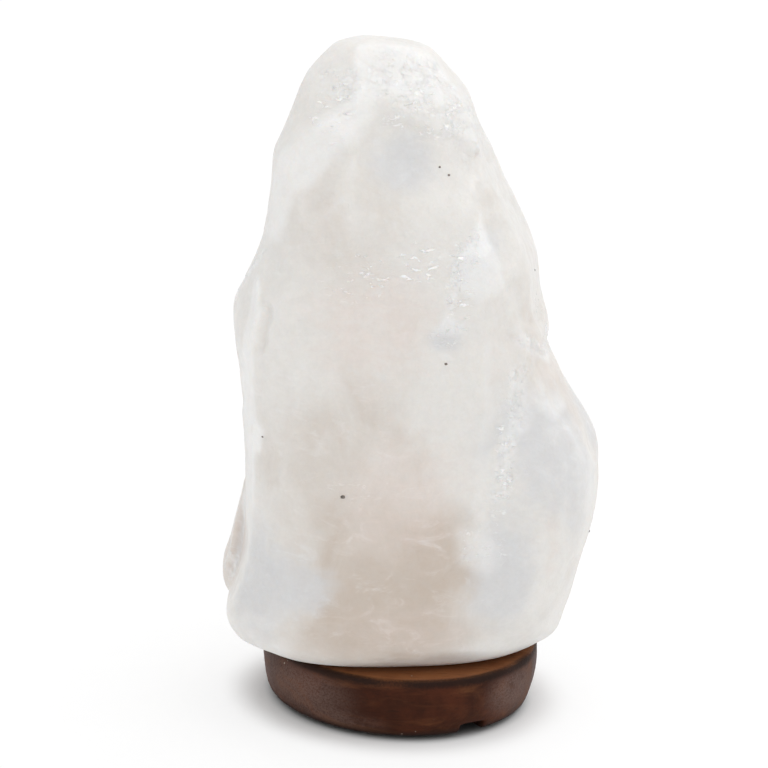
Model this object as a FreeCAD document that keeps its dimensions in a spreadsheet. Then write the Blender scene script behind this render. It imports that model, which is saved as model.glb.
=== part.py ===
import FreeCAD, Part
import math
import os
import re
import Sketcher
from FreeCAD import Vector

# Salt crystal lamp. Millimetres, +Z up, the viewer in front at -Y.
# The origin is on the ground, under the middle of the wooden base.

SIZES = {
    # Wooden base
    "base_top_radius": 52.5,
    "base_bottom_radius": 49.5,
    "base_thickness": 23.5,
    "base_side_radius": 45.0,
    "base_top_round": 1.8,
    "base_bottom_round": 3.0,
    "base_bore_radius": 20.0,
    "recess_radius": 26.0,
    "recess_depth": 4.2,
    "cord_slot_width": 11.0,
    "cord_slot_angle": -55.0,
    # Felt feet
    "foot_radius": 5.0,
    "foot_thickness": 1.5,
    "foot_inset": 8.5,
    "foot_turn": 45.0,
    # Screws that hold the crystal
    "screw_circle_radius": 34.0,
    "screw_turn": 60.0,
    "screw_head_radius": 3.8,
    "screw_head_height": 2.4,
    "screw_shank_radius": 2.0,
    "screw_length": 35.0,
    "screw_drive_width": 0.9,
    "screw_drive_depth": 1.1,
    "screw_head_depth": 8.0,
    "screw_point_length": 4.0,
    # Salt crystal
    "crystal_height": 230.0,
    "crystal_width": 141.4,
    "crystal_depth": 108.5,
    "cavity_radius": 23.0,
    "cavity_depth": 90.0,
    "cavity_end_height": 5.75,
    "cavity_end_radius": 11.5,
    # Lampholder
    "holder_height": 10.0,
    "holder_radius": 14.0,
    "holder_wall": 1.8,
    "cord_entry_radius": 3.5,
    "cap_floor": 4.0,
    "cap_depth": 12.0,
    "cap_edge_round": 3.0,
    "spigot_height": 5.0,
    "spigot_wall": 1.7,
    "insert_floor": 4.5,
    "insert_height": 25.0,
    "sleeve_lip": 1.7,
    "sleeve_mouth_radius": 9.6,
    "shell_height": 18.5,
    "shell_wall": 0.5,
    "strip_thickness": 0.4,
    "contact_width": 4.0,
    "contact_offset": 3.4,
    "contact_rise": 1.5,
    "strap_width": 3.0,
    "terminal_width": 4.0,
    "terminal_length": 6.0,
    "terminal_height": 8.0,
    "terminal_screw_radius": 1.1,
    "terminal_screw_head_radius": 1.6,
    "terminal_screw_head_height": 1.3,
    "terminal_screw_rise": 2.7,
    "wire_hole_radius": 1.1,
    "wire_hole_offset": 1.5,
    # Spring clip
    "clip_thickness": 0.5,
    "clip_leg_width": 8.0,
    "clip_ring_width": 2.0,
    "clip_shoulder_drop": 5.5,
    "clip_bow_height": 3.3,
    "clip_waist_rise": 1.65,
    "clip_waist_radius": 17.2,
    "clip_tab_radius": 24.0,
    # Bulb
    "bulb_length": 54.0,
    "glass_radius": 11.0,
    "glass_wall": 0.7,
    "neck_radius": 6.6,
    "glass_shoulder": 32.6,
    "bulb_cap_skirt_radius": 7.7,
    "bulb_cap_wall": 0.5,
    "bulb_cap_bottom": 4.6,
    "bulb_cap_top": 25.0,
    "contact_button_radius": 2.4,
    "contact_button_height": 1.5,
    "insulator_face_radius": 3.2,
    "stem_radius": 1.6,
    "stem_top": 33.0,
    "filament_height": 41.0,
    "filament_half_span": 4.0,
    "lead_wire_radius": 0.25,
    "lead_wire_knee": 2.0,
    "filament_radius": 0.35,
    # Edison thread, 14 mm
    "thread_pitch": 2.82,
    "thread_major_radius": 6.95,
    "thread_minor_radius": 6.1,
    "thread_root_width": 2.0,
    "thread_crest_width": 0.7,
    "bulb_thread_turns": 4.0,
    "shell_thread_turns": 4.5,
    # Clearances
    "running_gap": 0.3,
    "seat_gap": 0.2,
    "thread_gap": 0.45,
}

FOOT_COUNT = 4
SCREW_COUNT = 3
CLIP_LEG_COUNT = 3
SIDES = (1, -1)
FULL_TURN = 360
EDGE_TOLERANCE = 0.01

document = FreeCAD.newDocument("salt_crystal_lamp")
sheet = document.addObject("Spreadsheet::Sheet", "Size")
for row, (name, number) in enumerate(SIZES.items(), start=1):
    sheet.set(f"A{row}", name)
    sheet.set(f"B{row}", str(number))
    sheet.setAlias(f"B{row}", name)
document.recompute()

# Heights above the ground, and radii that follow from other sizes.
BASE_BOTTOM = "foot_thickness"
BASE_TOP = "(foot_thickness + base_thickness)"
RECESS_TOP = "(foot_thickness + recess_depth)"
SCREW_SEAT = "(foot_thickness + screw_head_depth)"
CAP_SHOULDER = "(holder_height + cap_depth)"
CAP_TOP = "(holder_height + cap_depth + spigot_height)"
SLEEVE_BOTTOM = "(holder_height + cap_depth + clip_thickness)"
SLEEVE_BORE = "(holder_radius - holder_wall)"
SPIGOT_RADIUS = "(holder_radius - holder_wall - seat_gap)"
SPIGOT_BORE = "(holder_radius - holder_wall - seat_gap - spigot_wall)"
INSERT_RADIUS = "(holder_radius - holder_wall - seat_gap)"
INSERT_FLOOR_TOP = "(holder_height + cap_depth + spigot_height + insert_floor)"
INSERT_TOP = "(holder_height + cap_depth + spigot_height + insert_height)"
LIP_BOTTOM = f"({INSERT_TOP} + seat_gap)"
SLEEVE_TOP = f"({LIP_BOTTOM} + sleeve_lip)"
SHELL_BORE = "(thread_major_radius + thread_gap)"
SHELL_RADIUS = "(thread_major_radius + thread_gap + shell_wall)"
SOCKET_RADIUS = f"({SHELL_RADIUS} + strip_thickness)"
CONTACT_TOP = f"({INSERT_FLOOR_TOP} + contact_rise + strip_thickness / 2)"
BULB_BOTTOM = f"({CONTACT_TOP} + seat_gap)"
BULB_TOP = f"({BULB_BOTTOM} + bulb_length)"
BULB_CAP_BOTTOM = f"({BULB_BOTTOM} + bulb_cap_bottom)"
BULB_CAP_TOP = f"({BULB_BOTTOM} + bulb_cap_top)"
BULB_THREAD_START = f"({BULB_CAP_BOTTOM} + thread_root_width / 2 + seat_gap)"
FOOT_CIRCLE = "(base_bottom_radius - foot_inset)"


def value(text):
    """The number that a sum of named sizes comes to."""
    return float(sheet.evalExpression(text))


def bound(text):
    """The same sum as an expression that other objects of the document can hold."""
    return re.sub(r"[a-z_]{3,}[a-z_0-9]*", lambda m: "Size." + m[0] if m[0] in SIZES else m[0], text)


def spaced(first, number, count):
    """The angle of one of several pieces that stand evenly round the axis."""
    return f"({first} + {number} * {FULL_TURN} / {count})"


def screw_angle(number):
    return spaced("cord_slot_angle + screw_turn", number, SCREW_COUNT)


def new_body(label):
    body = document.addObject("PartDesign::Body", label)
    body.Label = label
    return body


def sketch_on(body, name, role, offset=None):
    """A sketch on one of the body's own origin planes, moved off it by an offset."""
    sketch = body.newObject("Sketcher::SketchObject", name)
    plane = next(item for item in body.Origin.OriginFeatures if item.Role == role)
    sketch.AttachmentSupport = [(plane, "")]
    sketch.MapMode = "FlatFace"
    if offset:
        sketch.setExpression("AttachmentOffset.Base.z", bound(offset))
    return sketch


def constrain(sketch, kind, places, text):
    """A dimension of the sketch whose number is bound to the sheet."""
    index = sketch.addConstraint(Sketcher.Constraint(kind, *places, value(text)))
    sketch.setExpression(f"Constraints[{index}]", bound(text))


def arc_between(start, end, radius):
    """An arc of less than half a turn; a positive radius turns left on the way."""
    chord = end - start
    left = Vector(-chord.y, chord.x, 0).normalize()
    drop = math.sqrt(max(radius ** 2 - (chord.Length / 2) ** 2, 0))
    centre = (start + end) / 2 + left * math.copysign(drop, radius)
    ends = (start, end) if radius > 0 else (end, start)
    angles = [math.atan2(point.y - centre.y, point.x - centre.x) for point in ends]
    return Part.ArcOfCircle(Part.Circle(centre, Vector(0, 0, 1), abs(radius)), *angles)


def outline(sketch, corners):
    """A closed outline through corners of (across, up), each bound to the sheet.

    A corner's third item is the radius of the arc that leaves it for the next corner.
    """
    points = [Vector(value(corner[0]), value(corner[1]), 0) for corner in corners]
    count = len(corners)
    ends = []
    for index, corner in enumerate(corners):
        start = points[index]
        end = points[(index + 1) % count]
        if len(corner) == 2:
            sketch.addGeometry(Part.LineSegment(start, end), False)
            ends.append((1, 2))
        else:
            radius = value(corner[2])
            sketch.addGeometry(arc_between(start, end, radius), False)
            ends.append((1, 2) if radius > 0 else (2, 1))
    for index in range(count):
        after = (index + 1) % count
        meeting = (index, ends[index][1], after, ends[after][0])
        sketch.addConstraint(Sketcher.Constraint("Coincident", *meeting))
    for index, corner in enumerate(corners):
        constrain(sketch, "DistanceX", (-1, 1, index, ends[index][0]), corner[0])
        constrain(sketch, "DistanceY", (-1, 1, index, ends[index][0]), corner[1])
        if len(corner) == 3:
            size = corner[2].lstrip("-")
            constrain(sketch, "Radius", (index,), size)


def circle(sketch, across, up, radius):
    """A circle whose centre and radius are bound to the sheet."""
    centre = Vector(value(across), value(up), 0)
    index = sketch.addGeometry(Part.Circle(centre, Vector(0, 0, 1), value(radius)), False)
    constrain(sketch, "DistanceX", (-1, 1, index, 3), across)
    constrain(sketch, "DistanceY", (-1, 1, index, 3), up)
    constrain(sketch, "Radius", (index,), radius)


def turned(label, corners):
    """A body turned about the vertical axis from an outline of (radius, height)."""
    body = new_body(label)
    sketch = sketch_on(body, label + "_profile", "XZ_Plane")
    outline(sketch, corners)
    revolution = body.newObject("PartDesign::Revolution", label + "_turning")
    revolution.Profile = sketch
    revolution.ReferenceAxis = (sketch, ["V_Axis"])
    revolution.Angle = FULL_TURN
    return body


def pocket(body, sketch, depth):
    """Cuts the sketch upwards from its plane, by a depth bound to the sheet."""
    cut = body.newObject("PartDesign::Pocket", sketch.Name + "_cut")
    cut.Profile = sketch
    cut.setExpression("Length", bound(depth))
    cut.Reversed = True
    return cut


def placed_at_angle(body, radius, angle, lift="0"):
    """Puts a body made on the axis at a radius and an angle about it, in degrees."""
    turn = f"({bound(angle)}) * 1 deg"
    body.setExpression("Placement.Base.x", f"({bound(radius)}) * cos({turn})")
    body.setExpression("Placement.Base.y", f"({bound(radius)}) * sin({turn})")
    body.setExpression("Placement.Base.z", bound(lift))
    body.setExpression("Placement.Rotation.Angle", bound(angle))


# ---------------------------------------------------------------- wooden base

SLOT_REACH = "(base_top_radius + base_thickness)"
DRIVE_REACH = "(screw_head_radius + screw_drive_width)"


def make_wooden_base():
    """A turned disc with a bulging side, its bore, recess, cord slot and screw holes."""
    base = turned("wooden_base", [
        ("recess_radius", BASE_BOTTOM),
        ("base_bottom_radius", BASE_BOTTOM, "base_side_radius"),
        ("base_top_radius", BASE_TOP),
        ("base_bore_radius", BASE_TOP),
        ("base_bore_radius", RECESS_TOP),
        ("recess_radius", RECESS_TOP),
    ])
    document.recompute()
    round_rim(base, "base_bottom_round", "base_bottom_radius", BASE_BOTTOM)
    document.recompute()
    round_rim(base, "base_top_round", "base_top_radius", BASE_TOP)
    document.recompute()

    slot = sketch_on(base, "cord_slot", "XY_Plane", BASE_BOTTOM)
    slot.setExpression("AttachmentOffset.Rotation.Angle", bound("cord_slot_angle"))
    outline(slot, [
        ("base_bore_radius", "-cord_slot_width / 2"),
        (SLOT_REACH, "-cord_slot_width / 2"),
        (SLOT_REACH, "cord_slot_width / 2"),
        ("base_bore_radius", "cord_slot_width / 2"),
    ])
    pocket(base, slot, "recess_depth")
    document.recompute()

    for number in range(SCREW_COUNT):
        angle = screw_angle(number)
        bore = "screw_shank_radius + seat_gap"
        sink = "screw_head_radius + seat_gap"
        drill_up(base, f"screw_bore_{number + 1}", angle, bore, "base_thickness")
        drill_up(base, f"screw_sink_{number + 1}", angle, sink, "screw_head_depth")


def round_rim(body, size, radius, height):
    """Rounds the outer edge that runs at the given radius and height."""
    before = body.Tip
    edges = []
    for number, edge in enumerate(before.Shape.Edges, start=1):
        box = edge.BoundBox
        drift = max(abs(box.ZMax - value(height)), abs(box.ZMin - value(height)))
        drift = max(drift, abs(box.XMax - value(radius)))
        if drift < EDGE_TOLERANCE:
            edges.append(f"Edge{number}")
    fillet = body.newObject("PartDesign::Fillet", size + "_fillet")
    fillet.Base = (before, edges)
    fillet.setExpression("Radius", bound(size))


def drill_up(body, name, angle, radius, depth):
    """A round hole from the underside, at the screws' radius and the given angle."""
    hole = sketch_on(body, name, "XY_Plane", BASE_BOTTOM)
    turn = f"({angle} * 1 deg)"
    across = f"screw_circle_radius * cos{turn}"
    up = f"screw_circle_radius * sin{turn}"
    circle(hole, across, up, radius)
    pocket(body, hole, depth)
    document.recompute()


def make_feet():
    """Felt pads near the rim, set clear of the cord slot."""
    for number in range(FOOT_COUNT):
        foot = turned(f"foot_{number + 1}", [
            ("0", "0"),
            ("foot_radius", "0"),
            ("foot_radius", "foot_thickness"),
            ("0", "foot_thickness"),
        ])
        angle = spaced("cord_slot_angle + foot_turn", number, FOOT_COUNT)
        placed_at_angle(foot, FOOT_CIRCLE, angle)


def make_crystal_screws():
    """Wood screws whose heads sit in the base and whose points are in the salt."""
    for number in range(SCREW_COUNT):
        screw = turned(f"crystal_screw_{number + 1}", [
            ("0", "-screw_head_height"),
            ("screw_head_radius", "-screw_head_height"),
            ("screw_head_radius", "0"),
            ("screw_shank_radius", "0"),
            ("screw_shank_radius", "screw_length - screw_point_length"),
            ("0", "screw_length"),
        ])
        drive = sketch_on(screw, f"drive_{number + 1}", "XY_Plane", "-screw_head_height")
        outline(drive, [
            (f"-{DRIVE_REACH}", "-screw_drive_width / 2"),
            (DRIVE_REACH, "-screw_drive_width / 2"),
            (DRIVE_REACH, "screw_drive_width / 2"),
            (f"-{DRIVE_REACH}", "screw_drive_width / 2"),
        ])
        pocket(screw, drive, "screw_drive_depth")
        placed_at_angle(screw, "screw_circle_radius", screw_angle(number), SCREW_SEAT)


# ---------------------------------------------------------------- salt crystal
# Each level: height above the sawn foot, then its left, right, front and back edge.

BLOCK_LEVELS = (
    (0, -50, 47, -38, 42),
    (4, -59, 57, -45.5, 46.5),
    (11, -66, 61, -50.5, 49.5),
    (21, -65.5, 61, -52.5, 51.5),
    (34, -61.5, 57.5, -53, 53),
    (48, -60.5, 54, -52.5, 54),
    (64, -61.5, 51, -52, 54.5),
    (82, -62.5, 49.5, -51, 54.5),
    (102, -64.7, 48, -50, 53.5),
    (122, -67.3, 48, -48, 52),
    (135, -66.3, 45, -45.5, 50.5),
    (146, -62.3, 43.3, -43, 49),
    (159, -58.6, 38.8, -40, 46.5),
    (174, -57.4, 30.7, -36, 44),
    (186, -57, 24.5, -31, 41),
    (198, -52.9, 19.8, -25, 36),
    (210, -48.6, 13.7, -18, 30),
    (219, -44.5, 5.5, -11, 24),
    (226, -38.5, -1.5, -5, 18),
    (229, -33, -12, 0, 13),
    (230, -28, -19, 3, 9),
)
LOBE_LEVELS = (
    (4, 12, 54, -24, 26),
    (13, 8, 62, -36, 33),
    (26, 5, 65, -42, 38),
    (43, 5, 68.8, -43, 41),
    (60, 5, 71.2, -42, 42),
    (73, 6, 71.4, -40, 41),
    (83, 8, 68.5, -37, 39),
    (92, 10, 63, -33, 36),
    (103, 14, 56, -28, 32),
    (115, 18, 49, -21, 27),
    (126, 20, 44, -14, 22),
)
FLAKE_LEVELS = (
    (10, -66.5, -40, 0, 20),
    (17, -69.6, -40, -6, 26),
    (27, -69.3, -40, -8, 28),
    (36, -67, -40, -8, 28),
    (48, -64.5, -40, -6, 26),
    (60, -62, -40, -2, 22),
)
POINTS_PER_LEVEL = 16
SQUARENESS = 2.6
LEAN = 0.2
PROBE_STEP = 1.0

# Scallops broken out of the crystal: the side it is seen from, in degrees to the right of the
# viewer's, then across, height, mouth radius and depth.
SCALLOPS = (
    (0, -10, 191, 18.5, 4.0),
    (0, -34, 209, 10, 1.4),
    (0, 12, 128, 6.5, 1.2),
    (306, 2, 188, 18, 1.5),
    (55, 0, 165, 18, 1.5),
    (110, 0, 190, 16, 1.6),
    (140, 2, 160, 30, 2.8),
    (135, 6, 92, 24, 2.6),
    (150, 0, 44, 22, 2.2),
    (180, 8, 150, 34, 3.2),
    (180, -20, 70, 30, 3.0),
    (180, 34, 96, 20, 2.2),
    (190, 0, 200, 20, 2.0),
    (222, 0, 110, 34, 3.2),
    (232, -2, 180, 26, 2.6),
    (228, 2, 48, 20, 2.0),
    (250, 4, 140, 16, 1.6),
)
SIGHT_LENGTH = 200.0


def crystal_scale():
    """How far the three overall sizes stretch the levels from their own extent."""
    rows = BLOCK_LEVELS + LOBE_LEVELS + FLAKE_LEVELS
    width = max(row[2] for row in rows) - min(row[1] for row in rows)
    depth = max(row[4] for row in rows) - min(row[3] for row in rows)
    height = max(row[0] for row in rows)
    return Vector(
        value("crystal_width") / width,
        value("crystal_depth") / depth,
        value("crystal_height") / height,
    )


def squared(part, half_width):
    """One coordinate of a point on a curve between an ellipse and a rectangle."""
    return math.copysign(abs(part) ** (2 / SQUARENESS), part) * half_width


def level_wire(level, scale):
    """One closed smooth curve round a level, leaning to the front left."""
    height, left, right, front, back = level
    points = []
    for number in range(POINTS_PER_LEVEL):
        angle = 2 * math.pi * number / POINTS_PER_LEVEL
        across = squared(math.cos(angle), (right - left) / 2)
        deep = squared(math.sin(angle), (back - front) / 2) + LEAN * across
        x = (left + right) / 2 + across
        y = (front + back) / 2 + deep
        points.append(Vector(x * scale.x, y * scale.y, height * scale.z))
    curve = Part.BSplineCurve()
    curve.interpolate(Points=points, PeriodicFlag=True)
    return Part.Wire(curve.toShape())


def chunk(levels, scale):
    """A solid lofted through the levels of one lobe of the crystal."""
    return Part.makeLoft([level_wire(level, scale) for level in levels], True)


def outer_point(block, toward, beside, height):
    """Where a line of sight, beside the block's axis, first meets the block."""
    start = beside + toward * SIGHT_LENGTH + Vector(0, 0, height)
    line = Part.makeLine(start, start - toward * SIGHT_LENGTH)
    points = [vertex.Point for vertex in block.common(line).Vertexes]
    return max(points, key=toward.dot)


def scallop(block, place, scale):
    """The ball that breaks one scallop square out of the block's side."""
    side, across, height, mouth, depth = place
    angle = math.radians(side)
    toward = Vector(math.sin(angle), -math.cos(angle), 0)
    right = Vector(math.cos(angle), math.sin(angle), 0)
    beside = Vector(right.x * scale.x, right.y * scale.y, 0) * across
    z = height * scale.z
    centre = outer_point(block, toward, beside, z)
    next_right = outer_point(block, toward, beside + right * PROBE_STEP, z)
    next_up = outer_point(block, toward, beside, z + PROBE_STEP)
    outward = (next_right - centre).cross(next_up - centre).normalize()
    radius = (mouth ** 2 + depth ** 2) / (2 * depth)
    return Part.makeSphere(radius, centre + outward * (radius - depth))


def make_salt_crystal():
    """The block, its lobe and flake, less the scallops, the cavity and the screws' holes."""
    scale = crystal_scale()
    block = chunk(BLOCK_LEVELS, scale)
    solid = block.fuse([chunk(LOBE_LEVELS, scale), chunk(FLAKE_LEVELS, scale)])
    whole = solid
    for place in SCALLOPS:
        solid = solid.cut(scallop(whole, place, scale))
    radius = value("cavity_radius")
    end_radius = value("cavity_end_radius")
    end_height = value("cavity_end_height")
    wall_height = value("cavity_depth") - end_height
    cuts = [
        Part.makeCylinder(radius, wall_height),
        Part.makeCone(radius, end_radius, end_height, Vector(0, 0, wall_height)),
    ]
    hole_depth = value(f"{SCREW_SEAT} + screw_length + seat_gap - {BASE_TOP}")
    hole_radius = value("screw_shank_radius + seat_gap / 2")
    for number in range(SCREW_COUNT):
        angle = math.radians(value(screw_angle(number)))
        place = Vector(math.cos(angle), math.sin(angle), 0) * value("screw_circle_radius")
        cuts.append(Part.makeCylinder(hole_radius, hole_depth, place))
    solid = solid.cut(cuts)
    crystal = document.addObject("Part::Feature", "salt_crystal")
    crystal.Label = "salt_crystal"
    crystal.Shape = solid.Solids[0]
    crystal.Placement.Base = Vector(0, 0, value(BASE_TOP))


# ---------------------------------------------------------------- lampholder

TERMINAL_TOP = CAP_TOP
TERMINAL_BOTTOM = f"({CAP_TOP} - terminal_height)"
TERMINAL_INNER = "(contact_offset + strip_thickness / 2)"
STRAP_OFFSET = f"({SHELL_RADIUS} - shell_wall / 2)"
STRAP_INNER = f"({STRAP_OFFSET} - strip_thickness / 2)"


def make_holder_cap():
    """The cup that closes the lampholder from below, with its cord entry and spigot."""
    turned("holder_cap", [
        ("cord_entry_radius", "holder_height"),
        ("holder_radius - cap_edge_round", "holder_height", "cap_edge_round"),
        ("holder_radius", "holder_height + cap_edge_round"),
        ("holder_radius", CAP_SHOULDER),
        (SPIGOT_RADIUS, CAP_SHOULDER),
        (SPIGOT_RADIUS, CAP_TOP),
        (SPIGOT_BORE, CAP_TOP),
        (SPIGOT_BORE, "holder_height + cap_floor"),
        ("cord_entry_radius", "holder_height + cap_floor"),
    ])


def make_holder_sleeve():
    """The outer sleeve, which stands on the clip's ring and holds the insert under its lip."""
    turned("holder_sleeve", [
        (SLEEVE_BORE, SLEEVE_BOTTOM),
        ("holder_radius", SLEEVE_BOTTOM),
        ("holder_radius", f"{SLEEVE_TOP} - sleeve_lip / 2"),
        ("holder_radius - sleeve_lip / 2", SLEEVE_TOP),
        ("sleeve_mouth_radius", SLEEVE_TOP),
        ("sleeve_mouth_radius", LIP_BOTTOM),
        (SLEEVE_BORE, LIP_BOTTOM),
    ])


def make_holder_insert():
    """The insulating body, with its socket and the slots for the contact and the strap."""
    insert = turned("holder_insert", [
        ("0", CAP_TOP),
        (INSERT_RADIUS, CAP_TOP),
        (INSERT_RADIUS, INSERT_TOP),
        (SOCKET_RADIUS, INSERT_TOP),
        (SOCKET_RADIUS, INSERT_FLOOR_TOP),
        ("0", INSERT_FLOOR_TOP),
    ])
    places = (
        ("contact_slot", "contact_offset", "contact_width"),
        ("strap_slot", f"-{STRAP_OFFSET}", "strap_width"),
    )
    for name, offset, width in places:
        slot = sketch_on(insert, name, "XY_Plane", CAP_TOP)
        near = f"{offset} - strip_thickness / 2 - seat_gap"
        far = f"{offset} + strip_thickness / 2 + seat_gap"
        side = f"({width} / 2 + seat_gap)"
        outline(slot, [(near, f"-{side}"), (far, f"-{side}"), (far, side), (near, side)])
        pocket(insert, slot, "insert_floor")


def add_thread(body, root, crest, start, turns):
    """A helical ridge on a body turned about the vertical axis, from its root to its crest."""
    profile = sketch_on(body, body.Label + "_ridge", "XZ_Plane")
    outline(profile, [
        (root, f"{start} - thread_root_width / 2"),
        (crest, f"{start} - thread_crest_width / 2"),
        (crest, f"{start} + thread_crest_width / 2"),
        (root, f"{start} + thread_root_width / 2"),
    ])
    ridge = body.newObject("PartDesign::AdditiveHelix", body.Label + "_thread")
    ridge.Profile = profile
    ridge.ReferenceAxis = (profile, ["V_Axis"])
    ridge.Mode = "pitch-turns-angle"
    ridge.setExpression("Pitch", bound("thread_pitch"))
    ridge.setExpression("Turns", bound(turns))
    ridge.Reversed = False
    ridge.LeftHanded = False


def make_screw_shell():
    """The brass shell with its inner thread, and the strap down to its terminal."""
    shell = turned("screw_shell", [
        (SHELL_BORE, INSERT_FLOOR_TOP),
        (SHELL_RADIUS, INSERT_FLOOR_TOP),
        (SHELL_RADIUS, f"{INSERT_FLOOR_TOP} + shell_height"),
        (SHELL_BORE, f"{INSERT_FLOOR_TOP} + shell_height"),
    ])
    # The ridge runs half a pitch off the bulb's, so that each lies in the other's groove.
    start = f"({BULB_THREAD_START} - thread_pitch / 2)"
    root = f"({SHELL_BORE} + shell_wall / 2)"
    crest = "(thread_minor_radius + thread_gap)"
    add_thread(shell, root, crest, start, "shell_thread_turns")
    strap = sketch_on(shell, "strap", "XY_Plane", f"({TERMINAL_TOP} - terminal_height / 2)")
    near = f"-{STRAP_OFFSET} - strip_thickness / 2"
    far = f"-{STRAP_OFFSET} + strip_thickness / 2"
    outline(strap, [
        (near, "-strap_width / 2"),
        (far, "-strap_width / 2"),
        (far, "strap_width / 2"),
        (near, "strap_width / 2"),
    ])
    pad = shell.newObject("PartDesign::Pad", "strap_pad")
    pad.Profile = strap
    pad.setExpression("Length", bound("terminal_height / 2 + insert_floor + contact_rise"))


def strip(points, thickness, width):
    """A bent strip along points of (across, up), with its width across Y."""
    path = [Vector(across, 0, up) for across, up in points]
    normals = []
    for start, end in zip(path, path[1:]):
        along = (end - start).normalize()
        normals.append(Vector(-along.z, 0, along.x))
    offsets = [normals[0]]
    for before, after in zip(normals, normals[1:]):
        mitre = (before + after).normalize()
        offsets.append(mitre / mitre.dot(before))
    offsets.append(normals[-1])
    over = [point + offset * thickness / 2 for point, offset in zip(path, offsets)]
    under = [point - offset * thickness / 2 for point, offset in zip(path, offsets)]
    rim = Part.makePolygon(over + under[::-1] + over[:1])
    face = Part.Face(rim)
    face.translate(Vector(0, -width / 2, 0))
    return face.extrude(Vector(0, width, 0))


def make_centre_contact():
    """A leaf that comes up through the insert and bends over to meet the bulb's contact."""
    offset = value("contact_offset")
    top = value(f"{CONTACT_TOP} - strip_thickness / 2")
    bend = value(f"{INSERT_FLOOR_TOP} + strip_thickness / 2")
    half_flat = value("contact_button_radius / 2")
    leaf = strip([
        (offset, value(f"{TERMINAL_TOP} - terminal_height / 2")),
        (offset, bend),
        (half_flat, top),
        (-half_flat, top),
        (-half_flat * 2, top - half_flat / 2),
    ], value("strip_thickness"), value("contact_width"))
    contact = document.addObject("Part::Feature", "centre_contact")
    contact.Label = "centre_contact"
    contact.Shape = leaf


def make_terminals():
    """Two brass blocks under the insert, each with a wire hole and a clamping screw."""
    for number, side in enumerate(SIDES, start=1):
        inner = TERMINAL_INNER if side > 0 else f"({STRAP_INNER} - terminal_width)"
        outer = f"({inner} + terminal_width)"
        middle = f"{side} * ({inner} + terminal_width / 2)"
        block = new_body(f"terminal_{number}")
        section = sketch_on(block, f"terminal_section_{number}", "XY_Plane", TERMINAL_BOTTOM)
        outline(section, [
            (f"{side} * {inner}", "-terminal_length / 2"),
            (f"{side} * {outer}", "-terminal_length / 2"),
            (f"{side} * {outer}", "terminal_length / 2"),
            (f"{side} * {inner}", "terminal_length / 2"),
        ])
        pad = block.newObject("PartDesign::Pad", f"terminal_pad_{number}")
        pad.Profile = section
        pad.setExpression("Length", bound("terminal_height"))
        wire_hole = sketch_on(block, f"wire_hole_{number}", "XY_Plane", TERMINAL_BOTTOM)
        circle(wire_hole, middle, "wire_hole_offset", "wire_hole_radius")
        pocket(block, wire_hole, "terminal_height / 2")
        screw_hole = sketch_on(block, f"clamp_hole_{number}", "XZ_Plane", "terminal_length / 2")
        height = f"({TERMINAL_BOTTOM} + terminal_screw_rise)"
        circle(screw_hole, middle, height, "terminal_screw_radius + seat_gap / 2")
        cut = pocket(block, screw_hole, "terminal_length")
        cut.Reversed = False

        screw = turned(f"terminal_screw_{number}", [
            ("0", "-terminal_screw_head_height"),
            ("terminal_screw_head_radius", "-terminal_screw_head_height"),
            ("terminal_screw_head_radius", "0"),
            ("terminal_screw_radius", "0"),
            ("terminal_screw_radius", "terminal_length / 2"),
            ("0", "terminal_length / 2"),
        ])
        screw.Placement.Rotation = FreeCAD.Rotation(Vector(1, 0, 0), -90)
        screw.setExpression("Placement.Base.x", bound(middle))
        screw.setExpression("Placement.Base.y", bound("-terminal_length / 2"))
        screw.setExpression("Placement.Base.z", bound(height))


def make_retaining_clip():
    """A ring clamped under the sleeve, with legs that bow out in the bore and end in tabs."""
    thickness = value("clip_thickness")
    width = value("clip_leg_width")
    shoulder = value(CAP_SHOULDER)
    inner = value(f"{SPIGOT_RADIUS} + seat_gap")
    outer = inner + value("clip_ring_width")
    ring = Part.makeCylinder(outer, thickness).cut(Part.makeCylinder(inner, thickness))
    ring.translate(Vector(0, 0, shoulder))
    reach = value("base_bore_radius - running_gap")
    bow = math.sqrt(reach ** 2 - (width / 2) ** 2) - thickness / 2
    bow_top = shoulder + thickness / 2 - value("clip_shoulder_drop")
    bow_bottom = bow_top - value("clip_bow_height")
    waist = value("clip_waist_radius")
    waist_top = value(f"{RECESS_TOP} + clip_waist_rise")
    tab_height = value(f"{RECESS_TOP} - running_gap - clip_thickness / 2")
    solid = ring
    for number in range(CLIP_LEG_COUNT):
        leg = strip([
            (inner + thickness, shoulder + thickness / 2),
            (outer + thickness, shoulder + thickness / 2),
            (bow, bow_top),
            (bow, bow_bottom),
            (waist, waist_top),
            (waist, tab_height),
            (value("clip_tab_radius"), tab_height),
        ], thickness, width)
        angle = value(spaced("cord_slot_angle + screw_turn", number, CLIP_LEG_COUNT))
        leg.rotate(Vector(0, 0, 0), Vector(0, 0, 1), angle)
        solid = solid.fuse(leg)
    clip = document.addObject("Part::Feature", "retaining_clip")
    clip.Label = "retaining_clip"
    clip.Shape = solid.removeSplitter()


# ---------------------------------------------------------------- bulb

NECK_BOTTOM = f"({BULB_CAP_TOP} - bulb_cap_skirt_radius / 2)"
DOME_FOOT = f"({BULB_TOP} - glass_radius)"
SHOULDER = f"({BULB_BOTTOM} + glass_shoulder)"
SKIRT_FOOT = f"({BULB_CAP_TOP} - bulb_cap_skirt_radius)"
INSULATOR_BOTTOM = f"({BULB_BOTTOM} + contact_button_height)"
STEM_TOP = f"({BULB_BOTTOM} + stem_top)"
NECK_BORE = "(neck_radius - glass_wall)"


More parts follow.
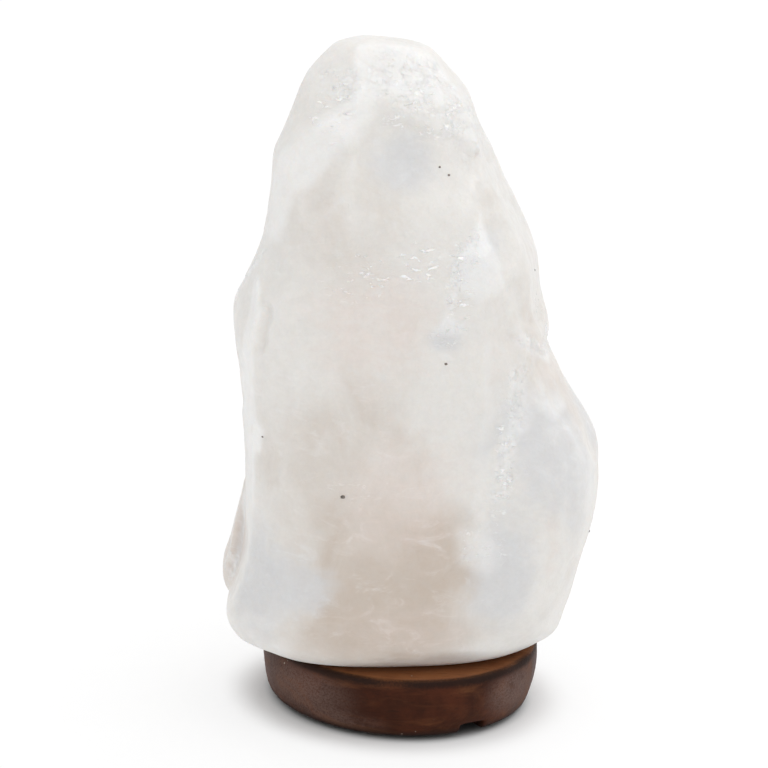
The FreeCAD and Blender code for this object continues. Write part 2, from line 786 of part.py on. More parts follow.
def make_bulb_glass():
    """The envelope: a neck inside the cap, a shoulder, a straight wall and a domed end."""
    turned("bulb_glass", [
        (NECK_BORE, NECK_BOTTOM),
        ("neck_radius", NECK_BOTTOM),
        ("neck_radius", BULB_CAP_TOP),
        ("glass_radius", SHOULDER),
        ("glass_radius", DOME_FOOT, "glass_radius"),
        ("0", BULB_TOP),
        ("0", f"{BULB_TOP} - glass_wall", "-(glass_radius - glass_wall)"),
        ("glass_radius - glass_wall", DOME_FOOT),
        ("glass_radius - glass_wall", f"{SHOULDER} + glass_wall / 2"),
        (NECK_BORE, f"{BULB_CAP_TOP} + glass_wall / 2"),
    ])


def make_bulb_cap():
    """The screw cap: a threaded shell that flares into a skirt round the glass."""
    inner = "(thread_minor_radius - bulb_cap_wall)"
    cap = turned("bulb_cap", [
        (inner, BULB_CAP_BOTTOM),
        ("thread_minor_radius", BULB_CAP_BOTTOM),
        ("thread_minor_radius", SKIRT_FOOT),
        ("bulb_cap_skirt_radius", NECK_BOTTOM),
        ("bulb_cap_skirt_radius", BULB_CAP_TOP),
        ("bulb_cap_skirt_radius - bulb_cap_wall", BULB_CAP_TOP),
        ("bulb_cap_skirt_radius - bulb_cap_wall", NECK_BOTTOM),
        (inner, f"{SKIRT_FOOT} + bulb_cap_wall / 2"),
    ])
    root = "(thread_minor_radius - bulb_cap_wall / 2)"
    add_thread(cap, root, "thread_major_radius", BULB_THREAD_START, "bulb_thread_turns")


def make_bulb_insulator():
    """The insulating button that closes the cap round the centre contact."""
    inner = "(contact_button_radius / 2 + seat_gap)"
    seat = "(thread_minor_radius - bulb_cap_wall - seat_gap)"
    turned("bulb_insulator", [
        (inner, INSULATOR_BOTTOM),
        ("insulator_face_radius", INSULATOR_BOTTOM),
        ("thread_minor_radius", BULB_CAP_BOTTOM),
        (seat, BULB_CAP_BOTTOM),
        (seat, f"{BULB_CAP_BOTTOM} + contact_button_height"),
        (inner, f"{BULB_CAP_BOTTOM} + contact_button_height"),
    ])


def make_bulb_contact():
    """The centre contact: a rounded button on a stem through the insulator."""
    turned("bulb_contact", [
        ("0", BULB_BOTTOM),
        ("contact_button_radius / 2", BULB_BOTTOM),
        ("contact_button_radius", f"{BULB_BOTTOM} + contact_button_height / 2"),
        ("contact_button_radius", INSULATOR_BOTTOM),
        ("contact_button_radius / 2", INSULATOR_BOTTOM),
        ("contact_button_radius / 2", f"{BULB_CAP_BOTTOM} + contact_button_height"),
        ("0", f"{BULB_CAP_BOTTOM} + contact_button_height"),
    ])


def make_bulb_stem():
    """The glass stem, whose flare closes the neck."""
    flare = f"({NECK_BORE} - seat_gap)"
    turned("bulb_stem", [
        ("0", NECK_BOTTOM),
        (flare, NECK_BOTTOM),
        (flare, f"{NECK_BOTTOM} + glass_wall"),
        ("stem_radius", BULB_CAP_TOP),
        ("stem_radius", STEM_TOP),
        ("0", STEM_TOP),
    ])


def make_filament():
    """Two wires that stand on the stem and splay out to the ends of the filament."""
    radius = value("lead_wire_radius")
    foot = value(STEM_TOP)
    top = value(f"{BULB_BOTTOM} + filament_height")
    start = value("stem_radius / 2")
    span = value("filament_half_span")
    for number, side in enumerate(SIDES, start=1):
        base = Vector(side * start, 0, foot)
        knee = Vector(side * start, 0, foot + value("lead_wire_knee"))
        tip = Vector(side * span, 0, top)
        bend = Part.makeSphere(radius, knee)
        wire = rod(base, knee, radius).fuse([rod(knee, tip, radius), bend])
        lead = document.addObject("Part::Feature", f"lead_wire_{number}")
        lead.Label = f"lead_wire_{number}"
        lead.Shape = wire.removeSplitter()
    coil_radius = value("filament_radius")
    height = top + radius + coil_radius
    coil = document.addObject("Part::Feature", "filament")
    coil.Label = "filament"
    coil.Shape = rod(Vector(-span, 0, height), Vector(span, 0, height), coil_radius)


def rod(start, end, radius):
    """A round rod between two points."""
    return Part.makeCylinder(radius, start.distanceToPoint(end), start, end - start)


# ---------------------------------------------------------------- building and writing

def sub_parts():
    """Every object that is a piece of the lamp: the bodies and the shapes that stand alone."""
    kinds = ("PartDesign::Body", "Part::Feature")
    return [item for item in document.Objects if item.TypeId in kinds]


def check_document():
    for item in document.Objects:
        if "Invalid" in item.State or "Error" in item.State:
            raise RuntimeError(f"{item.Label} failed: {item.State}")
    for item in sub_parts():
        if item.Shape.isNull() or not item.Shape.isValid() or len(item.Shape.Solids) != 1:
            raise RuntimeError(f"{item.Label} has no single valid solid")


make_wooden_base()
make_feet()
make_crystal_screws()
make_salt_crystal()
make_holder_cap()
make_holder_sleeve()
make_holder_insert()
make_screw_shell()
make_centre_contact()
make_terminals()
make_retaining_clip()
make_bulb_glass()
make_bulb_cap()
make_bulb_insulator()
make_bulb_contact()
make_bulb_stem()
make_filament()
document.recompute()
check_document()

os.makedirs("parts", exist_ok=True)
for piece in sub_parts():
    piece.Shape.exportStep(f"parts/{piece.Label}.step")
    print(piece.Label, round(piece.Shape.Volume, 2))
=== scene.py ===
import bmesh
import bpy
import math
import numpy as np
from mathutils import Matrix, Vector, noise


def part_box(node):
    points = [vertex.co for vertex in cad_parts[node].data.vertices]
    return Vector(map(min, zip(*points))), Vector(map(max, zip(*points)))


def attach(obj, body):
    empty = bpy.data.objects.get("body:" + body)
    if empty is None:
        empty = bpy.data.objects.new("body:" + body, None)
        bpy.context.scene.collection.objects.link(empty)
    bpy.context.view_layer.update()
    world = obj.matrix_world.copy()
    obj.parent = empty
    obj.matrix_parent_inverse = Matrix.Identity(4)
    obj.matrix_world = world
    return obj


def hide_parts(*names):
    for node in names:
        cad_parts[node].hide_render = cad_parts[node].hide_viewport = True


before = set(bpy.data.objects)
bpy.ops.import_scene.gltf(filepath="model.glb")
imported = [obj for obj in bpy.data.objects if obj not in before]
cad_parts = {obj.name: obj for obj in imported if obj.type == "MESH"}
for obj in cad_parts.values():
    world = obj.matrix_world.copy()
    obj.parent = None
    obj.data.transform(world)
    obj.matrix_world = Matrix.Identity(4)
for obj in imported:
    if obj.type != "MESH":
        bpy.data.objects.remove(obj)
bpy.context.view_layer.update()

bl_info = {
    "name": "Salt crystal lamp",
    "version": (1, 0, 0),
    "blender": (4, 5, 0),
    "location": "View3D > Sidebar > Salt lamp",
    "description": "Shapes and finishes the salt crystal lamp round its packed parts",
    "category": "Object",
}

MM = 0.001
BODY = "lamp_body"
BULB = "bulb"


# ---------------------------------------------------------------- settings

def tint(name, description, default):
    """A colour that a user can change."""
    return bpy.props.FloatVectorProperty(
        name=name, description=description, default=default, min=0, max=1, subtype="COLOR")


def millimetres(name, description, default, least, most):
    """A length that a user can change, given here in millimetres."""
    return bpy.props.FloatProperty(
        name=name, description=description, default=default * MM, min=least * MM, max=most * MM,
        unit="LENGTH")


class SaltSettings(bpy.types.PropertyGroup):
    """Sizes and colours of the salt crystal."""

    cell: millimetres("Mesh cell", "Spacing of the crystal's mesh", 1.2, 0.8, 4)
    swell: millimetres("Swell", "Height of the broad unevenness of the surface", 0.6, 0, 4)
    facet_sink: millimetres("Facet sink", "How deep the small broken facets cut", 0.7, 0, 3)
    crust: millimetres("Crust", "Height of the sugary crust on the rough parts", 0.95, 0, 2)
    skin_colour: tint("Skin colour", "Colour of the milky salt", (0.745, 0.728, 0.700))
    # Honey is partly painted light: laid strongest low down, for the wood's reflected light and the shade at
    # the foot.
    honey_colour: tint(
        "Honey colour", "Yellowish brown that shows where the salt is thick",
        (0.540, 0.458, 0.388))
    blush_colour: tint("Blush colour", "Faint pink of the salt's middle", (0.705, 0.600, 0.545))
    # The mist colour is also painted shade in the hollow under the ledge.
    mist_colour: tint("Mist colour", "Cool grey of the cloudy patches", (0.640, 0.642, 0.650))
    # Snow is partly painted light: laid on the cap, the right edge and the raised edges.
    snow_colour: tint("Snow colour", "White of fresh breaks and worn edges", (0.845, 0.845, 0.84))
    speck_colour: tint("Speck colour", "Colour of the mineral grains in the surface", (0.10, 0.085, 0.075))


class WoodSettings(bpy.types.PropertyGroup):
    """Sizes and colours of the wooden base and what is fixed to it."""

    cell: millimetres("Mesh cell", "Spacing of the base's mesh", 0.85, 0.6, 3)
    unevenness: millimetres(
        "Unevenness", "How far the turned surface strays from a true circle",
        0.35, 0, 1)
    stain_colour: tint("Stain colour", "Colour of the stained wood", (0.036, 0.0105, 0.0050))
    # The light colour is also painted over the whole top face as painted light from the salt above.
    light_colour: tint("Light colour", "Colour where the stain is thin", (0.235, 0.092, 0.036))
    dust_colour: tint("Dust colour", "Colour of the rubbed and dusty patches", (0.150, 0.098, 0.082))
    felt_colour: tint("Felt colour", "Colour of the feet", (0.045, 0.035, 0.03))


class HolderSettings(bpy.types.PropertyGroup):
    """Colours of the lampholder."""

    plastic_colour: tint("Plastic colour", "Colour of the holder's cap and sleeve", (0.74, 0.73, 0.68))
    ceramic_colour: tint("Insert colour", "Colour of the insulating insert", (0.62, 0.58, 0.50))
    brass_colour: tint("Brass colour", "Colour of the contacts and terminals", (0.60, 0.40, 0.14))
    spring_colour: tint("Spring colour", "Colour of the spring steel clip", (0.50, 0.50, 0.51))


class BulbSettings(bpy.types.PropertyGroup):
    """Sizes and colours of the bulb."""

    coil_turns: bpy.props.IntProperty(
        name="Coil turns", description="Turns of the filament's coil", default=22, min=4, max=60)
    coil_wire: millimetres("Coil wire", "Radius of the filament's wire", 0.07, 0.02, 0.2)
    glass_colour: tint("Glass colour", "Tint of the clear glass", (0.96, 0.98, 0.98))
    cap_colour: tint("Cap colour", "Colour of the plated screw cap", (0.62, 0.60, 0.55))


class StageSettings(bpy.types.PropertyGroup):
    """The floor, the lamps and the camera."""

    floor_colour: tint("Floor colour", "Colour of the floor and the backdrop", (0.96, 0.96, 0.96))
    sky_level: bpy.props.FloatProperty(
        name="Sky level", description="Light that comes evenly from all round",
        default=0.82, min=0, max=2)
    key_level: bpy.props.FloatProperty(
        name="Key level", description="Strength of the wide soft light above on the right",
        default=1.0, min=0, max=10)
    key_spread: bpy.props.FloatProperty(
        name="Key spread", description="Angle that the key light fills, which softens its shadow",
        default=math.radians(70), min=0, max=math.pi, subtype="ANGLE", unit="ROTATION")
    key_tilt: bpy.props.FloatVectorProperty(
        name="Key tilt", description="How the key light is turned from straight down",
        default=(math.radians(-16), math.radians(24), 0.0), subtype="EULER", unit="ROTATION")
    fill_level: bpy.props.FloatProperty(
        name="Fill level", description="Strength of the very wide light from the viewer's side",
        default=0.38, min=0, max=10)
    fill_spread: bpy.props.FloatProperty(
        name="Fill spread", description="Angle that the fill light fills",
        default=math.radians(110), min=0, max=math.pi, subtype="ANGLE", unit="ROTATION")
    fill_tilt: bpy.props.FloatVectorProperty(
        name="Fill tilt", description="How the fill light is turned from straight down",
        default=(math.radians(58), math.radians(-8), 0.0), subtype="EULER", unit="ROTATION")
    camera_place: bpy.props.FloatVectorProperty(
        name="Camera place", description="Where the camera stands",
        default=(0.0, -1.2, 0.4856), subtype="TRANSLATION", unit="LENGTH")
    camera_aim: bpy.props.FloatVectorProperty(
        name="Camera aim", description="The point that the camera looks at",
        default=(-0.0116, 0.0, 0.1239), subtype="TRANSLATION", unit="LENGTH")
    camera_roll: bpy.props.FloatProperty(
        name="Camera roll", description="How far the camera leans to its left",
        default=math.radians(3.05), subtype="ANGLE", unit="ROTATION")
    focal_length: bpy.props.FloatProperty(
        name="Focal length", description="Focal length of the lens",
        default=155.6, min=20, max=400, unit="CAMERA")


class LampSettings(bpy.types.PropertyGroup):
    """All the settings of the salt crystal lamp."""

    salt: bpy.props.PointerProperty(type=SaltSettings, name="Salt", description="The crystal")
    wood: bpy.props.PointerProperty(type=WoodSettings, name="Wood", description="The base")
    holder: bpy.props.PointerProperty(type=HolderSettings, name="Holder", description="The lampholder")
    bulb: bpy.props.PointerProperty(type=BulbSettings, name="Bulb", description="The bulb")
    stage: bpy.props.PointerProperty(type=StageSettings, name="Stage", description="Floor and light")


# ---------------------------------------------------------------- shader helpers

# Places of the colour mix node's sockets, whose names repeat.
MIX_FACTOR = 0
MIX_FIRST = 6
MIX_SECOND = 7
MIX_RESULT = 2


def feed(tree, socket, value):
    """Links another socket to this one, or sets its plain value."""
    if isinstance(value, bpy.types.NodeSocket):
        tree.links.new(value, socket)
    else:
        socket.default_value = value


def place(tree, kind, options=None, **inputs):
    """A node with its options set, and its inputs set or linked by name."""
    made = tree.nodes.new(kind)
    for name, value in (options or {}).items():
        setattr(made, name, value)
    for name, value in inputs.items():
        feed(tree, made.inputs[name.replace("_", " ")], value)
    return made


def mixed(tree, share, first, second):
    """The colour between two colours, each a socket or plain red, green and blue."""
    made = place(tree, "ShaderNodeMix", {"data_type": "RGBA"})
    feed(tree, made.inputs[MIX_FACTOR], share)
    for index, value in ((MIX_FIRST, first), (MIX_SECOND, second)):
        if not isinstance(value, bpy.types.NodeSocket):
            value = (*value[:3], 1.0)
        feed(tree, made.inputs[index], value)
    return made.outputs[MIX_RESULT]


def laid_on(tree, colour, over, mask, strength=1.0):
    """The colour with another laid over it by a mask, at the given strength."""
    share = mask if strength == 1.0 else sums(tree, "MULTIPLY", mask, strength)
    return mixed(tree, share, colour, over)


def ramped(tree, value, low, high, bottom=0.0, top=1.0):
    """A value spread smoothly from one range to another."""
    return place(tree, "ShaderNodeMapRange", {"interpolation_type": "SMOOTHSTEP"}, Value=value,
                 From_Min=low, From_Max=high, To_Min=bottom, To_Max=top).outputs["Result"]


def sums(tree, operation, first, second):
    """One step of arithmetic on values or sockets."""
    made = place(tree, "ShaderNodeMath", {"operation": operation})
    for socket, value in zip(made.inputs, (first, second)):
        feed(tree, socket, value)
    return made.outputs[0]


def vector_step(tree, operation, *values):
    """The outputs of one step of arithmetic on vectors."""
    made = place(tree, "ShaderNodeVectorMath", {"operation": operation})
    for socket, value in zip(made.inputs, values):
        feed(tree, socket, value)
    return made.outputs


def spot(tree, scale=(1, 1, 1), turn=(0, 0, 0)):
    """The point of the surface in the piece's own space, stretched and turned."""
    here = tree.nodes.new("ShaderNodeTexCoord").outputs["Object"]
    return place(tree, "ShaderNodeMapping", Vector=here, Scale=scale, Rotation=turn).outputs[0]


def noise_of(tree, vector, scale, detail=4.0, roughness=0.55, distortion=0.0):
    """Smooth noise of about 0 to 1, with the given number of lumps in a metre."""
    made = place(tree, "ShaderNodeTexNoise", Vector=vector, Scale=scale, Detail=detail,
                 Roughness=roughness, Distortion=distortion)
    return made.outputs["Fac"]


def bumped(tree, height, depth, **under):
    """A normal from a height of 0 to 1 with its full depth in metres, on top of another if given."""
    return place(tree, "ShaderNodeBump", Height=height, Distance=depth, **under).outputs[0]


def new_group(name, inputs, outputs):
    """An empty node group with named inputs (name, kind, default) and outputs (name, kind)."""
    tree = bpy.data.node_groups.new(name, "ShaderNodeTree")
    for label, kind, default in inputs:
        socket = tree.interface.new_socket(label, in_out="INPUT", socket_type=kind)
        if default is not None:
            socket.default_value = default
    for label, kind in outputs:
        tree.interface.new_socket(label, in_out="OUTPUT", socket_type=kind)
    return tree, tree.nodes.new("NodeGroupInput").outputs, tree.nodes.new("NodeGroupOutput").inputs


def broken_grain_group():
    """Small flat breaks, each tilted its own way."""
    tree, given, result = new_group(
        "broken_grain",
        (("Vector", "NodeSocketVector", None), ("Scale", "NodeSocketFloat", 400.0)),
        (("Height", "NodeSocketFloat"),))
    cells = place(tree, "ShaderNodeTexVoronoi", Vector=given["Vector"], Scale=given["Scale"]).outputs
    offset = vector_step(tree, "SUBTRACT", given["Vector"], cells["Position"])[0]
    tilt = vector_step(tree, "SUBTRACT", cells["Color"], (0.5, 0.5, 0.5))[0]
    lift = vector_step(tree, "DOT_PRODUCT", offset, tilt)["Value"]
    tree.links.new(sums(tree, "MULTIPLY", lift, given["Scale"]), result["Height"])


def smudge_group():
    """Patches where a surface is rubbed, dusty or dull, and a fine grain inside them."""
    tree, given, result = new_group(
        "smudges",
        (("Vector", "NodeSocketVector", None), ("Scale", "NodeSocketFloat", 60.0),
         ("Cover", "NodeSocketFloat", 0.5)),
        (("Mask", "NodeSocketFloat"), ("Grain", "NodeSocketFloat")))
    broad = noise_of(tree, given["Vector"], given["Scale"], 5.0, 0.6, 0.4)
    fine_scale = sums(tree, "MULTIPLY", given["Scale"], 14.0)
    fine = noise_of(tree, given["Vector"], fine_scale, 3.0, 0.6)
    edge = sums(tree, "SUBTRACT", 1.0, given["Cover"])
    above = sums(tree, "SUBTRACT", broad, edge)
    speckled = sums(tree, "ADD", above, sums(tree, "MULTIPLY", sums(tree, "SUBTRACT", fine, 0.5), 0.25))
    tree.links.new(ramped(tree, speckled, -0.08, 0.14), result["Mask"])
    tree.links.new(fine, result["Grain"])


def grouped(tree, group, **inputs):
    """The outputs of a node group placed in a material."""
    return place(tree, "ShaderNodeGroup", {"node_tree": bpy.data.node_groups[group]}, **inputs).outputs


def new_material(name, **plain):
    """A material with its shader's plain values set: returns it, its tree and its shader."""
    material = bpy.data.materials.new(name)
    material.use_nodes = True
    shader = material.node_tree.nodes["Principled BSDF"]
    for key, value in plain.items():
        shader.inputs[key.replace("_", " ")].default_value = value
    return material, material.node_tree, shader


def wire_up(tree, shader, **sockets):
    """Links sockets to the shader's inputs of the same names."""
    for name, socket in sockets.items():
        tree.links.new(socket, shader.inputs[name.replace("_", " ")])


# ---------------------------------------------------------------- mesh helpers

MERGE_DISTANCE = 1e-6


def into_scene(name, data):
    """A new object in the scene for a mesh, a curve, a light or a camera."""
    made = bpy.data.objects.new(name, data)
    bpy.context.scene.collection.objects.link(made)
    return made


def even_copy(node, name, cell):
    """A new piece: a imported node's mesh with its triangles joined and its surface evenly meshed."""
    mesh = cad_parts[node].data.copy()
    mesh.materials.clear()
    shape = bmesh.new()
    shape.from_mesh(mesh)
    bmesh.ops.remove_doubles(shape, verts=shape.verts, dist=MERGE_DISTANCE)
    shape.to_mesh(mesh)
    shape.free()
    piece = into_scene(name, mesh)
    grid = piece.modifiers.new("grid", "REMESH")
    grid.mode = "VOXEL"
    grid.voxel_size = cell
    view = bpy.context.evaluated_depsgraph_get()
    even = bpy.data.meshes.new_from_object(piece.evaluated_get(view))
    piece.modifiers.clear()
    piece.data = even
    bpy.data.meshes.remove(mesh)
    even.name = name
    even.shade_smooth()
    return piece


def points_of(mesh):
    """The mesh's points and normals, in millimetres and as unit vectors."""
    places = np.empty(len(mesh.vertices) * 3)
    mesh.vertices.foreach_get("co", places)
    normals = np.empty(len(mesh.vertices) * 3)
    mesh.vertices.foreach_get("normal", normals)
    return places.reshape(-1, 3) / MM, normals.reshape(-1, 3)


def put_points(mesh, places):
    """Moves the mesh's points to places in millimetres."""
    mesh.vertices.foreach_set("co", (places * MM).ravel())
    mesh.update()


def eased(value, low, high):
    """A smooth rise from 0 at low to 1 at high."""
    share = np.clip((value - low) / (high - low), 0.0, 1.0)
    return share * share * (3.0 - 2.0 * share)


def from_side(places, normals, azimuth):
    """How the points look from one side: across, up, and how far each faces that side."""
    angle = math.radians(azimuth)
    right = np.array((math.cos(angle), math.sin(angle), 0.0))
    toward = np.array((math.sin(angle), -math.cos(angle), 0.0))
    return places @ right, places[:, 2], eased(normals @ toward, 0.05, 0.45)


def wandering(places):
    """The points moved a little by smooth noise, which makes the features laid on them irregular."""
    shifts = [Vector(noise.noise_vector(Vector(place) / 17.0)) * 3.2
              + Vector(noise.noise_vector(Vector(place) / 5.0)) * 1.1 for place in places]
    return places + np.array(shifts)


def off_line(across, up, corners):
    """Distance from a broken line, positive on its left, and how far past its ends a point lies."""
    nearest = np.full(len(across), np.inf)
    side = np.ones(len(across))
    past = np.zeros(len(across))
    last = len(corners) - 2
    for index, ((x0, y0), (x1, y1)) in enumerate(zip(corners, corners[1:])):
        length = math.hypot(x1 - x0, y1 - y0)
        run = ((across - x0) * (x1 - x0) + (up - y0) * (y1 - y0)) / length
        held = np.clip(run, 0.0, length)
        gap = np.hypot(across - x0 - held * (x1 - x0) / length, up - y0 - held * (y1 - y0) / length)
        closer = gap < nearest
        nearest[closer] = gap[closer]
        cross = (x1 - x0) * (up - y0) - (y1 - y0) * (across - x0)
        side[closer] = np.where(cross >= 0, 1.0, -1.0)[closer]
        beyond = np.zeros(len(across))
        if index == 0:
            beyond = np.maximum(beyond, -run)
        if index == last:
            beyond = np.maximum(beyond, run - length)
        past[closer] = beyond[closer]
    return nearest * side, past


def rough(places, size, octaves, shift=0.0):
    """Smooth noise of about -1 to 1 at every point, for lumps of the given size."""
    offset = Vector((shift, -shift, shift))
    values = [noise.fractal(Vector(place) / size + offset, 0.8, 2.0, octaves) for place in places]
    return np.array(values)


def grains(places, size):
    """Rounded grains of the given size: 1 at the middle of each and about 0 between them."""
    return np.array([1.0 - noise.voronoi(Vector(place) / size)[0][0] * 1.6 for place in places])


def relaxed(mesh, values, rounds):
    """Values at the points after a number of rounds of averaging each with its neighbours."""
    ends = np.empty(len(mesh.edges) * 2, dtype=np.int64)
    mesh.edges.foreach_get("vertices", ends)
    first, second = ends.reshape(-1, 2).T
    count = len(values)
    degree = np.bincount(first, minlength=count) + np.bincount(second, minlength=count)
    for _ in range(rounds):
        values = np.column_stack([
            (np.bincount(first, column[second], count) + np.bincount(second, column[first], count)) / degree
            for column in values.T])
    return values


def mark(mesh, name, columns):
    """Stores up to four masks on the mesh's points as one colour attribute."""
    layer = mesh.color_attributes.new(name, "FLOAT_COLOR", "POINT")
    values = np.ones((len(mesh.vertices), 4))
    for index, column in enumerate(columns):
        values[:, index] = np.clip(column, 0.0, 1.0)
    layer.data.foreach_set("color", values.ravel())


def marks(tree, name):
    """The masks of a colour attribute as separate sockets."""
    layer = place(tree, "ShaderNodeVertexColor", {"layer_name": name})
    parts = place(tree, "ShaderNodeSeparateColor", Color=layer.outputs["Color"])
    return (*parts.outputs, layer.outputs["Alpha"])


# ---------------------------------------------------------------- salt crystal
# Places on the crystal are in millimetres as one side shows them: across and up from the ground.
# Azimuth 0 is the front, 90 the right side, 180 the back and 270 the left side.

# Hollows broken out by a blow: azimuth, across, up, mouth radius, depth, ripple.
HOLLOWS = (
    (0, 22, 181, 10.0, 0.7, 0.04),
    (90, -14, 205, 12.0, 0.9, 0.10),
    (90, -2, 55, 12.0, 0.8, 0.08),
    (180, 2, 118, 13.0, 0.9, 0.10),
    (180, 40, 190, 10.0, 0.8, 0.10),
    (270, 12, 205, 11.0, 0.8, 0.08),
    (270, 22, 66, 10.0, 0.8, 0.08),
)

# Where the broken edges are worn round: azimuth, across, up, half width, half height, strength.
WORN = (
    (0, -9, 208, 24, 22, 1.0),
    (0, 30, 140, 16, 18, 0.8),
    (0, 34, 80, 14, 40, 0.7),
)

# Steps, where the salt stands proud on the left of a line: azimuth, corners, rise, edge width, reach.
STEPS = (
    (0, ((17, 216), (10, 222), (3, 225.5), (-4, 229), (-11, 233), (-20, 236), (-28, 232)), -1.7, 2.6, 24),
    (0, ((17, 70), (23.6, 77), (29.9, 84), (29.6, 101.6), (31.2, 106), (34.3, 116), (36.5, 128), (39.5, 141)),
     0.5, 0.9, 26),
    (180, ((-46, 118), (-22, 130), (2, 126), (20, 138), (46, 134)), 0.8, 1.6, 24),
    (90, ((-22, 150), (-6, 142), (8, 146), (26, 136)), 1.0, 1.0, 20),
    (270, ((24, 176), (8, 160), (-6, 162), (-24, 150)), 1.0, 1.0, 20),
    (180, ((8, 40), (14, 62), (8, 84), (14, 100)), 0.9, 1.0, 18),
)

# Ridges and grooves: azimuth, corners, height, half width.
RIDGES = (
    (0, ((-58.7, 168), (-59.4, 138), (-57, 112), (-56.8, 88), (-58, 64), (-62, 47)), 0.8, 1.8),
    (0, ((-55.2, 162), (-55.8, 154), (-56.2, 147)), -1.0, 1.3),
    (0, ((22.5, 148), (24.6, 124), (25.6, 96), (26.2, 72)), 0.5, 3.6),
    (0, ((18.7, 197), (13.6, 181), (11.0, 173)), 0.4, 1.3),
    (0, ((-24, 231), (-42, 221), (-54, 204), (-57, 188)), 0.7, 4.4),
    (0, ((-27, 251), (-26, 240), (-28, 231), (-40, 225)), 0.7, 1.6),
    (90, ((-24, 170), (-20, 130), (-26, 90)), 0.7, 2.4),
    (180, ((30, 220), (34, 190), (30, 160)), 0.7, 2.6),
    (270, ((2, 150), (6, 110), (0, 80), (4, 50)), 0.8, 2.0),
)

# Rough, sugary breaks: azimuth, corners of the line they follow, half width.
CRUSTS = (
    (0, ((-12, 243), (4, 238), (14, 228), (20, 222)), 12.0),
    (0, ((39, 139), (38.5, 127), (36.3, 115), (33.5, 105), (32.5, 97)), 4.5),
    (0, ((18.7, 194), (14.5, 180), (12.4, 170), (12.2, 158)), 2.6),
    (0, ((-38, 242), (-33, 236), (-28, 243)), 4.0),
    (180, ((-30, 122), (-6, 130), (12, 134)), 4.0),
    (180, ((-20, 236), (0, 242), (14, 232)), 9.0),
    (90, ((-20, 149), (0, 144), (24, 137)), 4.0),
    (90, ((-6, 228), (8, 222)), 8.0),
    (270, ((22, 174), (4, 160), (-22, 150)), 4.0),
    (270, ((-8, 60), (10, 48)), 6.0),
)

# Soft patches of colour: azimuth, across, up, half width, half height, strength.
# Honey: the warm tone of thick salt, and partly painted light: the strong patches low down paint the wood's
# reflected light and the shade at the foot.
HONEY = (
    (0, -29, 196, 36, 40, 0.34),
    (0, -25, 108, 40, 44, 0.50),
    (0, -22, 78, 30, 22, 0.45),
    (0, -6, 52, 42, 32, 0.85),
    (0, 8, 74, 26, 26, 0.7),
    (0, -10, 40, 44, 16, 0.6),
    (0, -67, 62, 5, 16, 0.6),
    (0, 44, 170, 14, 40, 0.26),
    (0, 28, 205, 14, 20, 0.24),
    (180, -6, 58, 50, 44, 0.60),
    (180, 12, 112, 44, 56, 0.42),
    (180, 0, 184, 34, 42, 0.34),
    (90, 0, 54, 36, 40, 0.55),
    (90, 4, 126, 34, 56, 0.38),
    (270, 0, 54, 36, 42, 0.55),
    (270, -6, 132, 34, 60, 0.38),
)
BLUSH = (
    (0, -16, 158, 32, 30, 0.55),
    (0, -2, 96, 32, 34, 0.55),
    (0, 30, 152, 12, 26, 0.30),
    (0, 2, 44, 34, 16, 0.45),
    (0, 55, 80, 4, 26, 0.45),
    (180, 10, 160, 30, 30, 0.5),
    (90, -10, 130, 20, 30, 0.4),
    (270, 6, 60, 24, 26, 0.5),
)
MIST = (
    (0, -39, 61, 17, 13, 0.9),
    (0, -54, 58, 15, 30, 0.8),
    (0, 36, 66, 15, 28, 0.9),
    (0, 50, 112, 17, 24, 0.8),
    # Painted shade: this patch greys the hollow under the ledge, where shade falls.
    (0, -10, 214, 17, 13, 0.8),
    (0, 21, 181, 10, 14, 0.7),
    (0, 10, 156, 9, 7, 0.8),
    (180, 24, 80, 26, 16, 0.8),
    (180, -26, 176, 18, 24, 0.7),
    (90, 10, 112, 22, 18, 0.7),
    (90, -28, 104, 16, 34, 0.7),
    (270, 12, 100, 16, 24, 0.7),
)

# White bands along broken lines: azimuth, corners, half width, strength.
# The bands are partly the white of frosted breaks and partly painted light: on the cap and the right edge
# they paint the glow of light through thin salt.
SNOW = (
    (0, ((-22, 240), (-30, 228), (-43, 219), (-54, 205), (-58, 190)), 8.0, 0.75),
    (0, ((-20, 247), (4, 243), (16, 232), (20, 222)), 10.0, 0.85),
    (0, ((-60, 168), (-61.5, 138), (-59, 112), (-59.5, 88), (-61, 64)), 2.8, 0.9),
    (0, ((70, 100), (72, 82), (66, 58), (58, 40)), 6.0, 0.5),
    (0, ((24, 150), (26, 124), (27, 96), (27, 72)), 2.6, 0.2),
    (180, ((-22, 130), (2, 126), (20, 138)), 4.0, 0.4),
    (90, ((-22, 150), (-6, 142), (8, 146), (26, 136)), 4.0, 0.7),
    (270, ((24, 176), (8, 160), (-6, 162), (-24, 150)), 4.0, 0.7),
)

# Frosted flat breaks: azimuth, corners, edge softness, strength.
PANES = (
    (0, ((19, 197), (26, 183), (30.5, 170), (24, 167), (11, 173), (14.5, 185)), 1.8, 0.6),
    (0, ((19, 198), (25, 185), (22, 179), (14.5, 184)), 1.4, 1.0),
    (0, ((4.5, 158), (9, 163.5), (15, 162), (16, 158), (9, 157)), 1.5, 0.6),
    (0, ((36, 141), (43, 138), (44, 124), (37, 108), (31, 99), (33, 112), (35, 126)), 1.6, 0.5),
    (0, ((44, 131), (52, 129), (60, 124), (52, 122), (45, 126)), 2.5, 0.6),
    (0, ((20, 82), (29, 84), (34, 76), (30, 66), (20, 70)), 4.0, 0.55),
)

